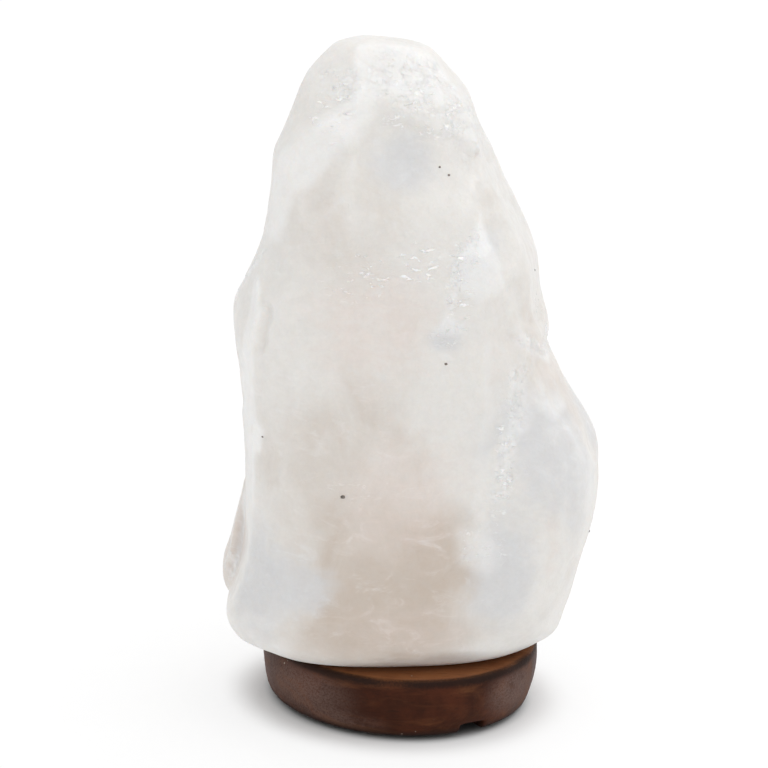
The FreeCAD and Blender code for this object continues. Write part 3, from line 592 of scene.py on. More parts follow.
# Where painted glint spots show on small flat breaks: azimuth, across, up, half width, half height, strength.
PAINTED_GLINT_ZONES = (
    (0, -22, 176, 14, 11, 1.0),
    (0, -2, 182, 10, 9, 0.8),
    (0, 15, 176, 6, 18, 1.0),
    (0, 34, 112, 4.5, 32, 1.0),
    (0, -36, 232, 10, 14, 1.0),
    (0, 4, 234, 26, 14, 0.8),
    (0, 28, 76, 9, 10, 0.9),
    (0, 11, 158, 8, 6, 0.8),
    (0, -20, 100, 26, 12, 0.3),
    (90, 4, 150, 14, 20, 0.8),
    (180, 4, 130, 30, 10, 0.8),
    (270, 4, 160, 16, 10, 0.8),
)

# Dark mineral grains that show: azimuth, across, up, size.
SPECKS = (
    (0, -23.8, 96.6, 0.75),
    (0, 8.2, 210.6, 0.5),
    (0, 4.6, 213.5, 0.45),
    (0, 10.9, 145.8, 0.5),
    (0, -54.5, 114.5, 0.4),
    (180, 14, 150, 0.6),
    (180, -22, 96, 0.5),
    (90, 6, 170, 0.5),
    (90, -12, 74, 0.6),
    (270, 10, 132, 0.55),
)

# Where the crystal's skin ends: round the bulb's cavity, round the screws and above the sawn foot.
CAVITY_CLEAR = 27.0
CAVITY_TOP = 118.0
SCREW_CLEAR = 3.2
FOOT_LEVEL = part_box("salt_crystal")[0].z / MM

# Small facets: how many, how far they reach, how they lean, and the hollow that is too deep for one.
FACET_SEED = 20
FACET_COUNT = 260
FACET_REACH = (12.0, 24.0)
FACET_DEPTH = (0.2, 1.0)
FACET_TILT = 0.07
FACET_EDGE = 0.15
VALLEY = 2.0
FRONT_SHARE = 0.15
FRONT_LEAN = 0.3

# The smooth worn face in front: where it fades out at each edge, and the lobe that is rougher.
FACE_LEFT = (-58, -50)
FACE_RIGHT = (60, 68)
FACE_FOOT = (34, 48)
FACE_TOP = (196, 208)
LOBE_START = (22, 32)
LOBE_LOSS = 0.35

# Rounds of averaging: over the whole skin, on worn edges, for the depth given back, and to find edges.
SOFT_ROUNDS = 10
WORN_ROUNDS = 110
EVEN_ROUNDS = 260
EDGE_ROUNDS = 26
EDGE_HEIGHT = (0.05, 0.75)

# Unevenness of the skin, in millimetres: sizes of its lumps and their heights.
SWELL_SIZE = 30.0
FRONT_CALM = 0.75
RIPPLE_SIZE = 7.0
RIPPLE_HEIGHT = 0.12
BROKEN_SIZE = 5.0

# The crust's grains: size, share and where their pattern starts; then how far they sink in.
SUGAR_GRAINS = ((3.4, 0.7, 0.0), (2.3, 0.5, 7.0))
SUGAR_SINK = 0.45

# Scales of the salt's patterns, in lumps to the metre, and depths of its bumps.
VEIN_SCALE = 48.0
WISP_SCALE = 105.0
GLINT_SCALE = 250.0
FLECK_SCALE = 260.0
WAX_SCALE = 330.0
BREAK_SCALE = 520.0
MOTTLE_SCALE = 750.0
MOTTLE_COLOUR = (0.30, 0.27, 0.24)
# White of the painted glint spots, a painted highlight.
PAINTED_GLINT_COLOUR = (1.0, 1.0, 1.0)
WAX_DEPTH = 0.22 * MM
BREAK_DEPTH = 1.2 * MM
GLINT_DEPTH = 0.15 * MM
GLOW_DEPTHS = (10.0 * MM, 7.8 * MM, 6.2 * MM)


def outside_mask(places):
    """1 on the crystal's outer surface, fading to 0 at its sawn foot, and 0 in its cavity and holes."""
    radius = np.hypot(places[:, 0], places[:, 1])
    mask = np.where((radius > CAVITY_CLEAR) | (places[:, 2] > CAVITY_TOP), 1.0, 0.0)
    for number in (1, 2, 3):
        low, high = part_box(f"crystal_screw_{number}")
        middle = (low + high) / 2 / MM
        apart = np.hypot(places[:, 0] - middle.x, places[:, 1] - middle.y)
        mask[(apart < SCREW_CLEAR) & (places[:, 2] < high.z / MM + SCREW_CLEAR)] = 0.0
    return mask * eased(places[:, 2], FOOT_LEVEL + 0.4, FOOT_LEVEL + 5.0)


def sliced(places, spot_on_plane, facing, reach, soft):
    """Moves what stands beyond a plane back to it, near one spot and with a slightly rounded edge."""
    over = (places - spot_on_plane) @ facing
    near = 1.0 - eased(np.linalg.norm(places - spot_on_plane, axis=1), reach * 0.65, reach)
    cut = soft * np.logaddexp(0.0, over / soft)
    return places - facing * (cut * near)[:, None]


def smooth_front(places, normals):
    """1 on the smooth worn face in front, less on the lobe, 0 on the broken sides and back."""
    x, z, facing = from_side(places, normals, 0)
    across = eased(x, *FACE_LEFT) * (1.0 - LOBE_LOSS * eased(x, *LOBE_START)) * (1.0 - eased(x, *FACE_RIGHT))
    return across * eased(z, *FACE_FOOT) * (1.0 - eased(z, *FACE_TOP)) * facing


def small_facets(places, normals, mask, sink):
    """Shallow flats at random over the surface, as an uneven break leaves them; none in a valley."""
    dice = np.random.default_rng(FACET_SEED)
    choices = np.flatnonzero(mask > 0.9)
    front = smooth_front(places, normals)
    start = places.copy()
    for _ in range(FACET_COUNT):
        pick = dice.choice(choices)
        jitter = dice.normal(size=3) * FACET_TILT
        reach = dice.uniform(*FACET_REACH)
        depth = dice.uniform(*FACET_DEPTH) * sink * (1.0 - (1.0 - FRONT_SHARE) * front[pick])
        facing = normals[pick] + jitter * (1.0 - (1.0 - FRONT_LEAN) * front[pick])
        facing /= np.linalg.norm(facing)
        around = start[np.linalg.norm(start - start[pick], axis=1) < reach] - start[pick]
        if (around @ facing).max() > VALLEY:
            continue
        places = sliced(places, start[pick] - facing * depth, facing, reach, FACET_EDGE)
    return places


def features(places, normals):
    """How far each point moves along its normal for the hollows, steps and ridges."""
    move = np.zeros(len(places))
    for azimuth, across, up, mouth, depth, ripple in HOLLOWS:
        x, z, facing = from_side(places, normals, azimuth)
        apart = np.hypot(x - across, z - up) / mouth
        bowl = np.clip(1.0 - apart ** 2, 0.0, 1.0) ** 1.6
        rings = np.sin(apart * 16.0) * ripple * bowl
        move -= (depth * bowl + rings) * facing
    for azimuth, corners, rise, edge, reach in STEPS:
        x, z, facing = from_side(places, normals, azimuth)
        apart, past = off_line(x, z, corners)
        level = eased(apart, -edge, edge) * (1.0 - eased(apart, reach * 0.1, reach))
        move += rise * level * facing * (1.0 - eased(past, 0.0, 9.0))
    for azimuth, corners, height, width in RIDGES:
        x, z, facing = from_side(places, normals, azimuth)
        apart, past = off_line(x, z, corners)
        move += height * np.exp(-(apart / width) ** 2) * facing * (1.0 - eased(past, 0.0, 12.0))
    return move


def patch_mask(places, normals, patches):
    """Soft round patches, each seen from its own side."""
    clear = np.ones(len(places))
    for azimuth, across, up, half_width, half_height, strength in patches:
        x, z, facing = from_side(places, normals, azimuth)
        apart = np.hypot((x - across) / half_width, (z - up) / half_height)
        clear *= 1.0 - (1.0 - eased(apart, 0.25, 1.3)) * facing * strength
    return 1.0 - clear


def pane_mask(places, normals, panes):
    """Flat shapes with a clear edge, whose corners run clockwise."""
    mask = np.zeros(len(places))
    for azimuth, corners, soft, strength in panes:
        x, z, facing = from_side(places, normals, azimuth)
        closed = (*corners, corners[0])
        apart, _ = off_line(x, z, closed)
        inside = np.full(len(places), np.inf)
        for (x0, y0), (x1, y1) in zip(closed, closed[1:]):
            length = math.hypot(x1 - x0, y1 - y0)
            inside = np.minimum(inside, ((y1 - y0) * (x - x0) - (x1 - x0) * (z - y0)) / length)
        gap = np.where(inside > 0, np.abs(apart), -np.abs(apart))
        mask = np.maximum(mask, eased(gap, -soft, soft) * facing * strength)
    return mask


def line_mask(places, normals, bands):
    """Soft bands along broken lines, at full strength where none is given."""
    mask = np.zeros(len(places))
    for azimuth, corners, width, *strength in bands:
        x, z, facing = from_side(places, normals, azimuth)
        apart, _ = off_line(x, z, corners)
        full = strength[0] if strength else 1.0
        mask = np.maximum(mask, (1.0 - eased(np.abs(apart), width * 0.4, width * 1.2)) * facing * full)
    return mask


def shape_salt(settings):
    """The crystal's mesh: worn edges, small facets, hollows, steps, ridges and crust on the block."""
    piece = even_copy("salt_crystal", "rock_salt", settings.cell)
    mesh = piece.data
    places, normals = points_of(mesh)
    mask = outside_mask(places)
    worn = patch_mask(places, normals, WORN)
    softened = places + (relaxed(mesh, places, SOFT_ROUNDS) - places) * mask[:, None]
    softened += (relaxed(mesh, softened, WORN_ROUNDS) - softened) * (worn * mask)[:, None]
    moved = small_facets(softened, normals, mask, settings.facet_sink / MM)
    change = ((moved - places) * normals).sum(axis=1)[:, None]
    lost = relaxed(mesh, change, EVEN_ROUNDS)[:, 0]
    put_points(mesh, places + ((moved - places) - normals * lost[:, None]) * mask[:, None])

    places, normals = points_of(mesh)
    calm = 1.0 - FRONT_CALM * smooth_front(places, normals)
    move = features(wandering(places), normals)
    swell = rough(places, SWELL_SIZE, 2) * settings.swell / MM * calm
    ripples = rough(places, RIPPLE_SIZE, 2, 40.0) * RIPPLE_HEIGHT
    put_points(mesh, places + normals * ((move + swell + ripples) * mask)[:, None])

    places, normals = points_of(mesh)
    drawn = wandering(places)
    crust = line_mask(drawn, normals, CRUSTS) * mask
    crust *= eased(rough(places, BROKEN_SIZE, 4, 90.0), -0.35, 0.1)
    sugar = sum(share * grains(places + shift, size) for size, share, shift in SUGAR_GRAINS) - SUGAR_SINK
    sugar *= settings.crust / MM
    put_points(mesh, places + normals * (sugar * crust)[:, None])

    places, normals = points_of(mesh)
    # Raised edges, which the material paints lighter as a painted highlight along the ridges.
    broad = ((places - relaxed(mesh, places, EDGE_ROUNDS)) * normals).sum(axis=1)
    edge = eased(broad, *EDGE_HEIGHT) * mask
    honey, blush, mist, painted_glint_zones = (
        patch_mask(drawn, normals, patches) for patches in (HONEY, BLUSH, MIST, PAINTED_GLINT_ZONES))
    snow = np.maximum(line_mask(drawn, normals, SNOW), pane_mask(drawn, normals, PANES))
    mark(mesh, "salt_tones", (honey, blush, mist, snow))
    mark(mesh, "salt_breaks_and_painted_highlights", (crust, edge, painted_glint_zones))
    return piece


def broken_up(tree, mask, pattern, low, high):
    """A mask whose soft edge is broken up by a pattern."""
    return ramped(tree, sums(tree, "ADD", mask, sums(tree, "MULTIPLY", pattern, 0.9)), low, high)


def salt_material(settings):
    """Milky rock salt: warm where it is thick, misty patches, white breaks, and painted light: brown low
    down, shade under the ledge, lit edges, glint spots.
    """
    material, tree, shader = new_material(
        "milky_rock_salt", IOR=1.54, Subsurface_Weight=0.45, Subsurface_Scale=1.0,
        Subsurface_Radius=GLOW_DEPTHS)
    honey, blush, mist, snow = marks(tree, "salt_tones")
    crust, edge, painted_glint_zones, _ = marks(tree, "salt_breaks_and_painted_highlights")
    here = spot(tree)
    veins = noise_of(tree, spot(tree, (1.0, 1.0, 0.6)), VEIN_SCALE, 6.0, 0.6, 0.5)
    wisps = noise_of(tree, spot(tree, (0.7, 1.0, 1.5)), WISP_SCALE, 6.0, 0.65, 1.2)
    flecks = noise_of(tree, here, FLECK_SCALE, 4.0, 0.65)
    dashes = noise_of(tree, spot(tree, (1.0, 1.0, 2.3), (0.0, 0.35, 0.0)), GLINT_SCALE, 5.0, 0.66, 0.9)
    fine = noise_of(tree, here, MOTTLE_SCALE, 3.0, 0.7)

    # Warm tone of thick salt, and painted reflected light and shade: browner low down.
    thick = broken_up(tree, honey, veins, 0.55, 1.45)
    warm = sums(tree, "MULTIPLY", thick, ramped(tree, flecks, 0.3, 0.7, 1.0, 0.86))
    colour = mixed(tree, warm, settings.skin_colour, settings.honey_colour)
    pink = broken_up(tree, blush, wisps, 0.55, 1.45)
    colour = laid_on(tree, colour, settings.blush_colour, pink, 0.75)
    cool = broken_up(tree, mist, wisps, 0.50, 1.40)
    colour = laid_on(tree, colour, settings.mist_colour, cool, 0.85)
    colour = laid_on(tree, colour, settings.snow_colour, ramped(tree, wisps, 0.52, 0.80), 0.35)
    # The white bands: frosted breaks, and painted light on the cap and the right edge.
    band = sums(tree, "MULTIPLY", snow, ramped(tree, sums(tree, "ADD", veins, flecks), 0.75, 1.1, 0.45, 1.0))
    # Painted highlight: raised edges take a share of the snow colour.
    bright = sums(tree, "MAXIMUM", band, sums(tree, "MULTIPLY", edge, 0.22))
    bright = sums(tree, "MAXIMUM", bright, sums(tree, "MULTIPLY", crust, 0.6))
    colour = laid_on(tree, colour, settings.snow_colour, bright)
    mottle = sums(tree, "ADD", ramped(tree, flecks, 0.30, 0.70, 0.0, 0.6),
                  ramped(tree, fine, 0.30, 0.70, 0.0, 0.4))
    colour = laid_on(tree, colour, MOTTLE_COLOUR, mottle, 0.10)
    # Painted highlight: white glint spots laid into the colour where small breaks would catch the light.
    where = sums(tree, "MULTIPLY", ramped(tree, painted_glint_zones, 0.10, 0.75), ramped(tree, wisps, 0.44, 0.54))
    painted_glints = sums(tree, "MULTIPLY", ramped(tree, dashes, 0.555, 0.615), where)
    colour = laid_on(tree, colour, PAINTED_GLINT_COLOUR, painted_glints, 0.8)

    gloss = sums(tree, "ADD", ramped(tree, flecks, 0.3, 0.7, 0.34, 0.48), sums(tree, "MULTIPLY", crust, 0.08))
    gloss = sums(tree, "SUBTRACT", gloss, sums(tree, "MULTIPLY", painted_glints, 0.22))

    grain = grouped(tree, "broken_grain", Vector=here, Scale=BREAK_SCALE)["Height"]
    broken = sums(tree, "MULTIPLY", grain, ramped(tree, crust, 0.0, 1.0, 0.06, 0.9))
    waxy = bumped(tree, noise_of(tree, here, WAX_SCALE, 5.0, 0.6), WAX_DEPTH)
    rugged = bumped(tree, broken, BREAK_DEPTH, Normal=waxy)
    faceted = bumped(tree, painted_glints, GLINT_DEPTH, Normal=rugged)
    wire_up(tree, shader, Base_Color=colour, Roughness=gloss, Normal=faceted)
    return material


class SALTLAMP_OT_shape_salt(bpy.types.Operator):
    """Shape the rock salt and give it its milky finish"""

    bl_idname = "saltlamp.shape_salt"
    bl_label = "Shape the rock salt"

    def execute(self, context):
        settings = context.scene.salt_lamp.salt
        piece = shape_salt(settings)
        piece.data.materials.append(salt_material(settings))
        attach(piece, BODY)
        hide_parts("salt_crystal")
        return {"FINISHED"}


# How the grains are seen, roughened and flattened: across, up and out of the crystal.
SIGHT_LENGTH = 200
SPECK_ROUGHNESS = 0.35
SPECK_SHAPE = (1.2, 0.85, 0.5)
SPECK_RELIEF = 0.1 * MM


def speck_material(settings):
    """Dark mineral grains, browner in places."""
    material, tree, shader = new_material("mineral_grain", Roughness=0.6)
    patches = noise_of(tree, spot(tree), 900.0, 3.0)
    brown = tuple(min(1.0, part * 2.4) for part in settings.speck_colour)
    colour = mixed(tree, ramped(tree, patches, 0.35, 0.7), settings.speck_colour, brown)
    wire_up(tree, shader, Base_Color=colour, Normal=bumped(tree, patches, SPECK_RELIEF))
    return material


class SALTLAMP_OT_set_specks(bpy.types.Operator):
    """Set the dark mineral grains in the crystal's surface"""

    bl_idname = "saltlamp.set_specks"
    bl_label = "Set the mineral grains"

    def execute(self, context):
        salt = bpy.data.objects["rock_salt"]
        shape = bmesh.new()
        for number, (azimuth, across, up, size) in enumerate(SPECKS):
            angle = math.radians(azimuth)
            right = Vector((math.cos(angle), math.sin(angle), 0))
            toward = Vector((math.sin(angle), -math.cos(angle), 0))
            start = (right * across + toward * SIGHT_LENGTH) * MM + Vector((0, 0, up * MM))
            found, place_on, facing, _ = salt.ray_cast(start, -toward)
            if not found:
                raise RuntimeError(f"speck {number + 1} misses the crystal")
            grain = bmesh.ops.create_icosphere(shape, subdivisions=2, radius=size * MM)["verts"]
            for vert in grain:
                vert.co *= 1.0 + SPECK_ROUGHNESS * noise.noise(vert.co / MM * 1.7 + Vector((number, 0, 0)))
            flatten = Matrix.Diagonal((*SPECK_SHAPE, 1.0))
            lean = facing.to_track_quat("Z", "Y").to_matrix().to_4x4()
            bmesh.ops.transform(shape, matrix=Matrix.Translation(place_on) @ lean @ flatten, verts=grain)
        mesh = bpy.data.meshes.new("mineral_grains")
        shape.to_mesh(mesh)
        shape.free()
        mesh.shade_smooth()
        piece = into_scene("mineral_grains", mesh)
        mesh.materials.append(speck_material(context.scene.salt_lamp.salt))
        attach(piece, BODY)
        return {"FINISHED"}


# ---------------------------------------------------------------- wooden base

RIM_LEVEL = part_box("wooden_base")[1].z / MM
GROUND_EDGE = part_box("wooden_base")[0].z / MM

# Dents in the side: azimuth, across, up, radius, depth.
DENTS = (
    (0, -4, 11, 2.2, 0.35),
    (0, 31, 17, 1.6, 0.30),
    (0, 38, 12, 1.2, 0.35),
    (0, -30, 8, 2.6, 0.30),
    (90, 12, 14, 2.4, 0.40),
    (180, -10, 10, 2.8, 0.45),
    (180, 22, 18, 1.8, 0.35),
    (270, 6, 12, 2.2, 0.40),
)

# Rubbed, dusty patches on the side: azimuth, across, up, half width, half height, strength.
RUBS = (
    (0, -38, 14, 22, 12, 0.85),
    (0, 44, 15, 11, 11, 1.0),
    (0, -20, 6, 16, 5, 0.6),
    (90, 10, 14, 22, 8, 0.7),
    (180, -16, 12, 24, 9, 0.7),
    (270, 0, 12, 26, 9, 0.9),
)

# The marks of turning and the grain left standing, in millimetres: sizes and heights.
WAVER_SIZE = 24.0
TOOL_PITCH = 2.2
TOOL_HEIGHT = 0.035
FIBRE_SIZE = 1.6
FIBRE_RUN = (0.18, 1.0, 1.0)
FIBRE_HEIGHT = 0.05

# Distances from the axis over which the side's marks, rubs, rim line and painted shade at the foot come in.
SIDE_BAND = (44.0, 48.0)
RUB_BAND = (40.0, 46.0)
LINE_BAND = (49.3, 51.6)
FOOT_BAND = (40.0, 44.0)

# The dark line at the rim: how far below it, how much it wanders, and its half width.
LINE_DROP = 1.0
LINE_WANDER = 0.35
LINE_WIDTH = 2.0

# The wood's patterns: how the grain runs and lies, and scales in lumps to the metre.
GRAIN_LIE = (0.1, 0.06, 0.3)
FIGURE_RUN = (0.22, 1.0, 1.0)
PORE_RUN = (0.08, 1.0, 1.0)
FIGURE_SCALE = 95.0
PORE_SCALE = 1500.0
PATCH_SCALE = 42.0
SMUDGE_SCALE = 46.0
POWDER_SCALE = 1400.0
FLECK_CELLS = 210.0
FLECK_PATCHES = 70.0
WOOD_RELIEF = 0.22 * MM
RED_STAIN = (0.115, 0.030, 0.012)
PORE_COLOUR = (0.022, 0.010, 0.006)
SOOT_COLOUR = (0.016, 0.008, 0.006)
# Colour of the painted shade at the foot of the side.
FOOT_SHADE_COLOUR = (0.016, 0.009, 0.007)
FLECK_COLOUR = (0.42, 0.36, 0.30)


def shape_wood(settings):
    """The turned base with the unevenness of hand work: a wavering rim, soft tool marks and dents."""
    piece = even_copy("wooden_base", "turned_base", settings.cell)
    mesh = piece.data
    places, normals = points_of(mesh)
    radius = np.hypot(places[:, 0], places[:, 1])
    outer = eased(radius, *SIDE_BAND) * eased(places[:, 2], GROUND_EDGE + 0.2, GROUND_EDGE + 2.5)
    outer *= 1.0 - eased(places[:, 2], RIM_LEVEL - 0.3, RIM_LEVEL)
    waver = rough(places, WAVER_SIZE, 2, 5.0) * settings.unevenness / MM
    drift = 1.5 * rough(places, 18.0, 1, 15.0)
    tool = np.sin(places[:, 2] * 2 * math.pi / TOOL_PITCH + drift) * TOOL_HEIGHT
    fibres = rough(places * np.array(FIBRE_RUN), FIBRE_SIZE, 2, 25.0) * FIBRE_HEIGHT
    dents = np.zeros(len(places))
    for azimuth, across, up, size, depth in DENTS:
        x, z, facing = from_side(places, normals, azimuth)
        dents += depth * np.exp(-((x - across) ** 2 + (z - up) ** 2) / size ** 2) * facing
    put_points(mesh, places + normals * ((waver + tool + fibres - dents) * outer)[:, None])

    places, normals = points_of(mesh)
    rub = patch_mask(places, normals, RUBS) * eased(radius, *RUB_BAND)
    line_level = RIM_LEVEL - LINE_DROP + LINE_WANDER * rough(places, 14.0, 2, 35.0)
    line = np.exp(-((places[:, 2] - line_level) / LINE_WIDTH) ** 2) * eased(radius, *LINE_BAND)
    line *= 0.75 + 0.4 * rough(places, 20.0, 2, 70.0)
    # Painted shade: the side darkens towards its ground edge, where the base meets the floor.
    foot = (1.0 - eased(places[:, 2], GROUND_EDGE + 0.8, GROUND_EDGE + 4.0)) * eased(radius, *FOOT_BAND)
    # The top face, which the material paints lighter: painted light, for the glow from the salt falling on
    # it.
    top = eased(normals[:, 2], 0.55, 0.9)
    mark(mesh, "wood_marks_and_painted_light", (rub, line, foot, top))
    return piece


def wood_material(settings):
    """Stained hardwood with long figure, pores, a dark line at the rim, dusty rubbed patches, painted light
    on the top and painted shade at the foot.
    """
    material, tree, shader = new_material("stained_hardwood", IOR=1.45, Specular_IOR_Level=0.08)
    rub, line, foot, top = marks(tree, "wood_marks_and_painted_light")
    here = spot(tree)
    figure = noise_of(tree, spot(tree, FIGURE_RUN, GRAIN_LIE), FIGURE_SCALE, 6.0, 0.62, 0.8)
    pores = noise_of(tree, spot(tree, PORE_RUN, GRAIN_LIE), PORE_SCALE, 3.0, 0.7)
    patches = noise_of(tree, here, PATCH_SCALE, 5.0, 0.6)
    powder = noise_of(tree, here, POWDER_SCALE, 2.0, 0.8)
    smudges = grouped(tree, "smudges", Vector=here, Scale=SMUDGE_SCALE, Cover=0.62)

    # Painted light: the whole top face takes the light colour, as the salt's glow falls on it.
    light = sums(tree, "MAXIMUM", top, ramped(tree, figure, 0.44, 0.74, 0.0, 0.4))
    colour = mixed(tree, light, settings.stain_colour, settings.light_colour)
    colour = laid_on(tree, colour, RED_STAIN, ramped(tree, patches, 0.45, 0.65, 0.0, 0.35))
    colour = laid_on(tree, colour, PORE_COLOUR, ramped(tree, pores, 0.56, 0.70), 0.55)
    dusty = sums(tree, "MULTIPLY", rub, ramped(tree, smudges["Mask"], 0.0, 1.0, 0.40, 0.95))
    dusty = sums(tree, "MULTIPLY", dusty, ramped(tree, powder, 0.30, 0.62, 0.35, 1.0))
    colour = laid_on(tree, colour, settings.dust_colour, dusty, 0.9)
    soot = ramped(tree, sums(tree, "ADD", line, sums(tree, "MULTIPLY", powder, 0.7)), 0.40, 1.15)
    colour = laid_on(tree, colour, SOOT_COLOUR, soot, 0.9)
    # Painted shade along the foot of the side.
    colour = laid_on(tree, colour, FOOT_SHADE_COLOUR, foot, 0.8)
    flecks = place(tree, "ShaderNodeTexVoronoi", Vector=here, Scale=FLECK_CELLS).outputs["Distance"]
    chance = noise_of(tree, here, FLECK_PATCHES, 1.0)
    pale = sums(tree, "MULTIPLY", ramped(tree, flecks, 0.10, 0.05), ramped(tree, chance, 0.62, 0.66))
    colour = laid_on(tree, colour, FLECK_COLOUR, pale, 0.8)

    sheen = sums(tree, "ADD", ramped(tree, figure, 0.3, 0.7, 0.40, 0.54), sums(tree, "MULTIPLY", dusty, 0.18))
    relief = sums(tree, "ADD", sums(tree, "MULTIPLY", pores, 0.6), sums(tree, "MULTIPLY", figure, 0.5))
    wire_up(tree, shader, Base_Color=colour, Roughness=sheen, Normal=bumped(tree, relief, WOOD_RELIEF))
    return material


class SALTLAMP_OT_turn_base(bpy.types.Operator):
    """Turn the wooden base and stain it"""

    bl_idname = "saltlamp.turn_base"
    bl_label = "Turn the wooden base"

    def execute(self, context):
        settings = context.scene.salt_lamp.wood
        piece = shape_wood(settings)
        piece.data.materials.append(wood_material(settings))
        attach(piece, BODY)
        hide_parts("wooden_base")
        return {"FINISHED"}


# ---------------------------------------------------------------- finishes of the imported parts

FELT_RELIEF = 0.3 * MM
SCRATCH_RELIEF = 0.03 * MM
LINT_COLOUR = (0.22, 0.20, 0.18)
FILM_COLOUR = (0.90, 0.91, 0.90)


def finish_nodes(finishes):
    """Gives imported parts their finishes, by name."""
    for node, material in finishes.items():
        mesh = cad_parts[node].data
        mesh.materials.clear()
        mesh.materials.append(material)


def felt_material(colour):
    """Pressed felt: matted fibres, lighter lint."""
    material, tree, shader = new_material("pressed_felt", Roughness=0.95, Sheen_Weight=0.4)
    fibres = noise_of(tree, spot(tree), 2200.0, 6.0, 0.75, 1.2)
    lint = noise_of(tree, spot(tree), 700.0, 4.0)
    pale = tuple(min(1.0, part * 2.6) for part in colour)
    tone = mixed(tree, ramped(tree, fibres, 0.4, 0.7), colour, pale)
    tone = laid_on(tree, tone, LINT_COLOUR, ramped(tree, lint, 0.62, 0.75, 0.0, 0.6))
    wire_up(tree, shader, Base_Color=tone, Normal=bumped(tree, fibres, FELT_RELIEF))
    return material


def metal_material(name, colour, tarnish, rough_low, rough_high, stretch=(1.0, 1.0, 1.0)):
    """Bare or plated metal with fine scratches and patches of tarnish."""
    material, tree, shader = new_material(name, Metallic=1.0)
    scratches = noise_of(tree, spot(tree, stretch), 1900.0, 4.0, 0.7)
    dull = grouped(tree, "smudges", Vector=spot(tree), Scale=130.0, Cover=0.46)["Mask"]
    shine = ramped(tree, scratches, 0.3, 0.7, rough_low, rough_high)
    shine = sums(tree, "ADD", shine, sums(tree, "MULTIPLY", dull, 0.14))
    tone = laid_on(tree, colour, tarnish, dull, 0.6)
    wire_up(tree, shader, Base_Color=tone, Roughness=shine, Normal=bumped(tree, scratches, SCRATCH_RELIEF))
    return material


def plastic_material(name, colour, relief, rough_low, rough_high):
    """Moulded plastic, fired clay or black glass with a fine grain and faint dust."""
    material, tree, shader = new_material(name, IOR=1.5)
    smudges = grouped(tree, "smudges", Vector=spot(tree), Scale=90.0, Cover=0.44)
    dust = tuple(part * 0.80 for part in colour)
    tone = laid_on(tree, colour, dust, smudges["Mask"], 0.45)
    shine = ramped(tree, smudges["Grain"], 0.3, 0.7, rough_low, rough_high)
    shine = sums(tree, "ADD", shine, sums(tree, "MULTIPLY", smudges["Mask"], 0.15))
    wire_up(tree, shader, Base_Color=tone, Roughness=shine, Normal=bumped(tree, smudges["Grain"], relief))
    return material


def glass_material(name, colour, bending):
    """Clear glass with the faint film that handling leaves."""
    material, tree, shader = new_material(name, IOR=bending, Transmission_Weight=1.0)
    smears = grouped(tree, "smudges", Vector=spot(tree), Scale=110.0, Cover=0.40)["Mask"]
    tone = laid_on(tree, colour, FILM_COLOUR, smears, 0.3)
    wire_up(tree, shader, Base_Color=tone, Roughness=ramped(tree, smears, 0.0, 1.0, 0.02, 0.07))
    return material


class SALTLAMP_OT_finish_fixings(bpy.types.Operator):
    """Finish the felt feet, the crystal's screws and the terminals' screws"""

    bl_idname = "saltlamp.finish_fixings"
    bl_label = "Finish the feet and screws"

    def execute(self, context):
        settings = context.scene.salt_lamp.wood
        felt = felt_material(settings.felt_colour)
        plated = metal_material("zinc_plate", (0.58, 0.56, 0.50), (0.30, 0.27, 0.22), 0.26, 0.42)
        finish_nodes({node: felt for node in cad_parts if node.startswith("foot_")})
        screws = ("crystal_screw_", "terminal_screw_")
        finish_nodes({node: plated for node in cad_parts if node.startswith(screws)})
        return {"FINISHED"}


class SALTLAMP_OT_finish_holder(bpy.types.Operator):
    """Finish the lampholder, its contacts and its spring clip"""

    bl_idname = "saltlamp.finish_holder"
    bl_label = "Finish the lampholder"

    def execute(self, context):
        settings = context.scene.salt_lamp.holder
        plastic = plastic_material("moulded_plastic", settings.plastic_colour, 0.04 * MM, 0.34, 0.44)
        ceramic = plastic_material("fired_insert", settings.ceramic_colour, 0.12 * MM, 0.55, 0.75)
        brass = metal_material("pressed_brass", settings.brass_colour, (0.30, 0.17, 0.07), 0.20, 0.36)
        spring = metal_material("spring_steel", settings.spring_colour, (0.25, 0.23, 0.22), 0.18, 0.30,
                                (1.0, 1.0, 0.1))
        finish_nodes({
            "holder_cap": plastic,
            "holder_sleeve": plastic,
            "holder_insert": ceramic,
            "screw_shell": brass,
            "centre_contact": brass,
            "terminal_1": brass,
            "terminal_2": brass,
            "retaining_clip": spring,
        })
        return {"FINISHED"}


# ---------------------------------------------------------------- bulb

COIL_STEPS = 10


def wind_coil(settings):
    """The filament as a coil of fine wire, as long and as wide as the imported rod."""
    low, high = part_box("filament")
    middle = (low + high) / 2
    sweep = (high.z - low.z) / 2 - settings.coil_wire
    steps = settings.coil_turns * COIL_STEPS
    path = bpy.data.curves.new("filament_path", "CURVE")
    path.dimensions = "3D"
    path.bevel_depth = settings.coil_wire
    path.bevel_resolution = 1
    path.use_fill_caps = True
    line = path.splines.new("POLY")
    line.points.add(steps)
    for index, point in enumerate(line.points):
        angle = 2 * math.pi * index / COIL_STEPS
        across = low.x + (high.x - low.x) * index / steps
        point.co = (across, middle.y + sweep * math.cos(angle), middle.z + sweep * math.sin(angle), 1.0)
    wound = into_scene("coil_path", path)
    mesh = bpy.data.meshes.new_from_object(wound)
    bpy.data.objects.remove(wound)
    mesh.shade_smooth()
    return into_scene("tungsten_coil", mesh)


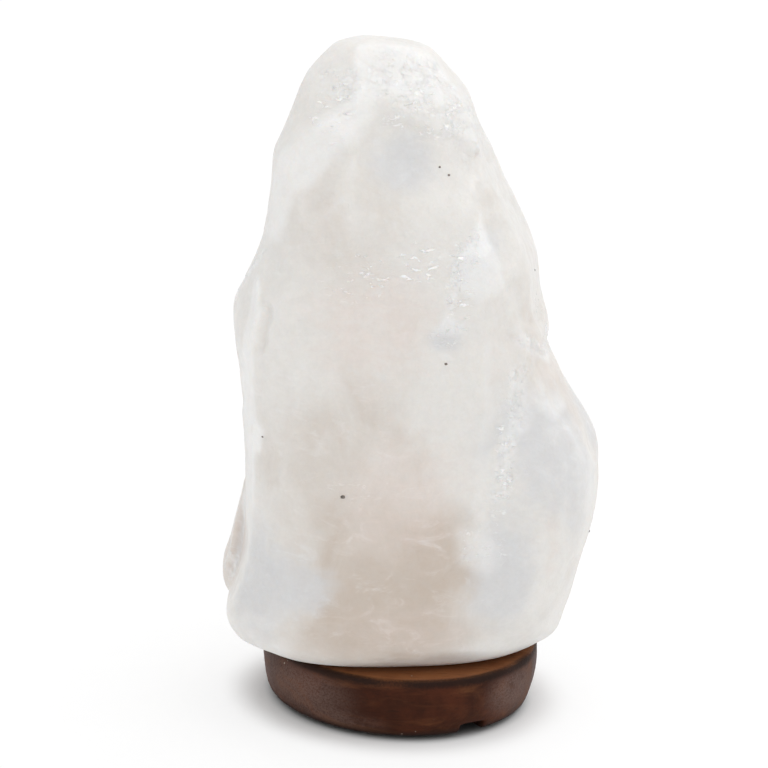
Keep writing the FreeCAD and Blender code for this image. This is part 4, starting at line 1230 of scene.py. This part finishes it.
class SALTLAMP_OT_finish_bulb(bpy.types.Operator):
    """Wind the filament and finish the bulb's glass, cap and contacts"""

    bl_idname = "saltlamp.finish_bulb"
    bl_label = "Finish the bulb"

    def execute(self, context):
        settings = context.scene.salt_lamp.bulb
        coil = wind_coil(settings)
        tungsten = metal_material("tungsten_wire", (0.26, 0.26, 0.27), (0.12, 0.12, 0.14), 0.35, 0.55)
        coil.data.materials.append(tungsten)
        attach(coil, BULB)
        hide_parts("filament")
        clear = glass_material("clear_glass", settings.glass_colour, 1.5)
        pressed = glass_material("pressed_glass", (0.86, 0.90, 0.90), 1.52)
        plate = metal_material("nickel_plate", settings.cap_colour, (0.34, 0.30, 0.24), 0.22, 0.34)
        wire = metal_material("nickel_wire", (0.55, 0.50, 0.45), (0.30, 0.25, 0.20), 0.3, 0.4)
        solder = metal_material("dull_solder", (0.48, 0.48, 0.49), (0.26, 0.26, 0.27), 0.42, 0.6)
        button = plastic_material("black_glass", (0.018, 0.018, 0.020), 0.02 * MM, 0.12, 0.22)
        finish_nodes({
            "bulb_glass": clear,
            "bulb_stem": pressed,
            "bulb_cap": plate,
            "lead_wire_1": wire,
            "lead_wire_2": wire,
            "bulb_contact": solder,
            "bulb_insulator": button,
        })
        return {"FINISHED"}


# ---------------------------------------------------------------- stage

FLOOR_HALF = 6.0

# The floor's material in rings round the base's axis: a painted shadow, dark under the base and round its
# edge, and from farther out shown white by a share of plain glow.
UNDER_RADIUS = 42 * MM
CONTACT_RADIUS = 53 * MM
CLEAR_RADIUS = 70 * MM
UNDER_SHADE = 0.9
PAINTED_SHADOW_COLOUR = (0.02, 0.018, 0.017)
BACKGROUND_SHARE = 0.72
FIBRE_DIMMING = 0.985


def seen_directly(tree):
    """1 for rays that show the background itself: camera, glossy and transmission rays."""
    path = tree.nodes.new("ShaderNodeLightPath").outputs
    shown = sums(tree, "MAXIMUM", path["Is Camera Ray"], path["Is Glossy Ray"])
    return sums(tree, "MAXIMUM", shown, path["Is Transmission Ray"])


def floor_material(settings):
    """Pale paper with a painted shadow under the base and round its edge, that farther out shows as nearly
    white.
    """
    material, tree, shader = new_material("pale_paper", Roughness=0.9)
    fibre = noise_of(tree, spot(tree), 30.0, 4.0)
    dim = tuple(part * FIBRE_DIMMING for part in settings.floor_colour)
    tone = mixed(tree, ramped(tree, fibre, 0.3, 0.7), settings.floor_colour, dim)
    apart = vector_step(tree, "LENGTH", spot(tree))["Value"]
    # Painted shadow: the paper's colour is darkened under the base and round its edge, in place of the shade
    # there.
    shade = ramped(tree, apart, UNDER_RADIUS, CONTACT_RADIUS, UNDER_SHADE, 0.0)
    wire_up(tree, shader, Base_Color=laid_on(tree, tone, PAINTED_SHADOW_COLOUR, shade))
    clear = ramped(tree, apart, CONTACT_RADIUS, CLEAR_RADIUS, 0.0, BACKGROUND_SHARE)
    glow = place(tree, "ShaderNodeEmission", Color=(1, 1, 1, 1), Strength=1.0)
    both = tree.nodes.new("ShaderNodeMixShader")
    for socket, source in zip(both.inputs, (
            sums(tree, "MULTIPLY", seen_directly(tree), clear), shader.outputs[0], glow.outputs[0])):
        tree.links.new(source, socket)
    tree.links.new(both.outputs[0], tree.nodes["Material Output"].inputs["Surface"])
    return material


def make_floor(settings):
    """A wide flat floor under the lamp."""
    shape = bmesh.new()
    bmesh.ops.create_grid(shape, x_segments=8, y_segments=8, size=FLOOR_HALF)
    mesh = bpy.data.meshes.new("floor")
    shape.to_mesh(mesh)
    shape.free()
    mesh.materials.append(floor_material(settings))
    into_scene("floor", mesh)


def make_sky(settings):
    """White where it is seen, and a lower even light where it falls on things."""
    world = bpy.data.worlds.new("studio")
    bpy.context.scene.world = world
    world.use_nodes = True
    tree = world.node_tree
    seen = seen_directly(tree)
    strength = sums(tree, "ADD", sums(tree, "MULTIPLY", seen, 1.0 - settings.sky_level), settings.sky_level)
    sky = tree.nodes["Background"]
    sky.inputs["Color"].default_value = (1, 1, 1, 1)
    tree.links.new(strength, sky.inputs["Strength"])


def make_light(name, level, spread, tilt):
    """A wide soft light that falls the same all over the floor."""
    light = bpy.data.lights.new(name, "SUN")
    light.energy = level
    light.angle = spread
    into_scene(name, light).rotation_euler = tilt


def make_camera(settings):
    """The camera at the photograph's viewing angle."""
    data = bpy.data.cameras.new("view")
    data.lens = settings.focal_length
    data.sensor_width = 36.0
    place_at = Vector(settings.camera_place)
    look = (Vector(settings.camera_aim) - place_at).to_track_quat("-Z", "Y").to_matrix()
    camera = into_scene("view", data)
    camera.matrix_world = Matrix.Translation(place_at) @ (
        look @ Matrix.Rotation(settings.camera_roll, 3, "Z")).to_4x4()
    bpy.context.scene.camera = camera


class SALTLAMP_OT_set_stage(bpy.types.Operator):
    """Lay the floor and set the lamps and the camera"""

    bl_idname = "saltlamp.set_stage"
    bl_label = "Set the stage"

    def execute(self, context):
        settings = context.scene.salt_lamp.stage
        make_floor(settings)
        make_sky(settings)
        make_light("key", settings.key_level, settings.key_spread, settings.key_tilt)
        make_light("fill", settings.fill_level, settings.fill_spread, settings.fill_tilt)
        make_camera(settings)
        context.scene.view_settings.view_transform = "Standard"
        return {"FINISHED"}


# ---------------------------------------------------------------- panel and running

STEPS_IN_ORDER = (
    SALTLAMP_OT_shape_salt,
    SALTLAMP_OT_set_specks,
    SALTLAMP_OT_turn_base,
    SALTLAMP_OT_finish_fixings,
    SALTLAMP_OT_finish_holder,
    SALTLAMP_OT_finish_bulb,
    SALTLAMP_OT_set_stage,
)


class SALTLAMP_PT_panel(bpy.types.Panel):
    """Lists the settings and the steps of the salt crystal lamp"""

    bl_label = "Salt crystal lamp"
    bl_idname = "SALTLAMP_PT_panel"
    bl_space_type = "VIEW_3D"
    bl_region_type = "UI"
    bl_category = "Salt lamp"

    def draw(self, context):
        lamp = context.scene.salt_lamp
        for group in (lamp.salt, lamp.wood, lamp.holder, lamp.bulb, lamp.stage):
            box = self.layout.box()
            for name in group.bl_rna.properties.keys():
                if name not in ("rna_type", "name"):
                    box.prop(group, name)
        for step in STEPS_IN_ORDER:
            self.layout.operator(step.bl_idname)


CLASSES = (SaltSettings, WoodSettings, HolderSettings, BulbSettings, StageSettings, LampSettings,
           *STEPS_IN_ORDER, SALTLAMP_PT_panel)


def register():
    for item in CLASSES:
        bpy.utils.register_class(item)
    bpy.types.Scene.salt_lamp = bpy.props.PointerProperty(
        type=LampSettings, name="Salt crystal lamp", description="Settings of the salt crystal lamp")


def unregister():
    del bpy.types.Scene.salt_lamp
    for item in reversed(CLASSES):
        bpy.utils.unregister_class(item)


def main():
    register()
    broken_grain_group()
    smudge_group()
    for step in STEPS_IN_ORDER:
        group, name = step.bl_idname.split(".")
        getattr(getattr(bpy.ops, group), name)()


if __name__ == "__main__":
    main()
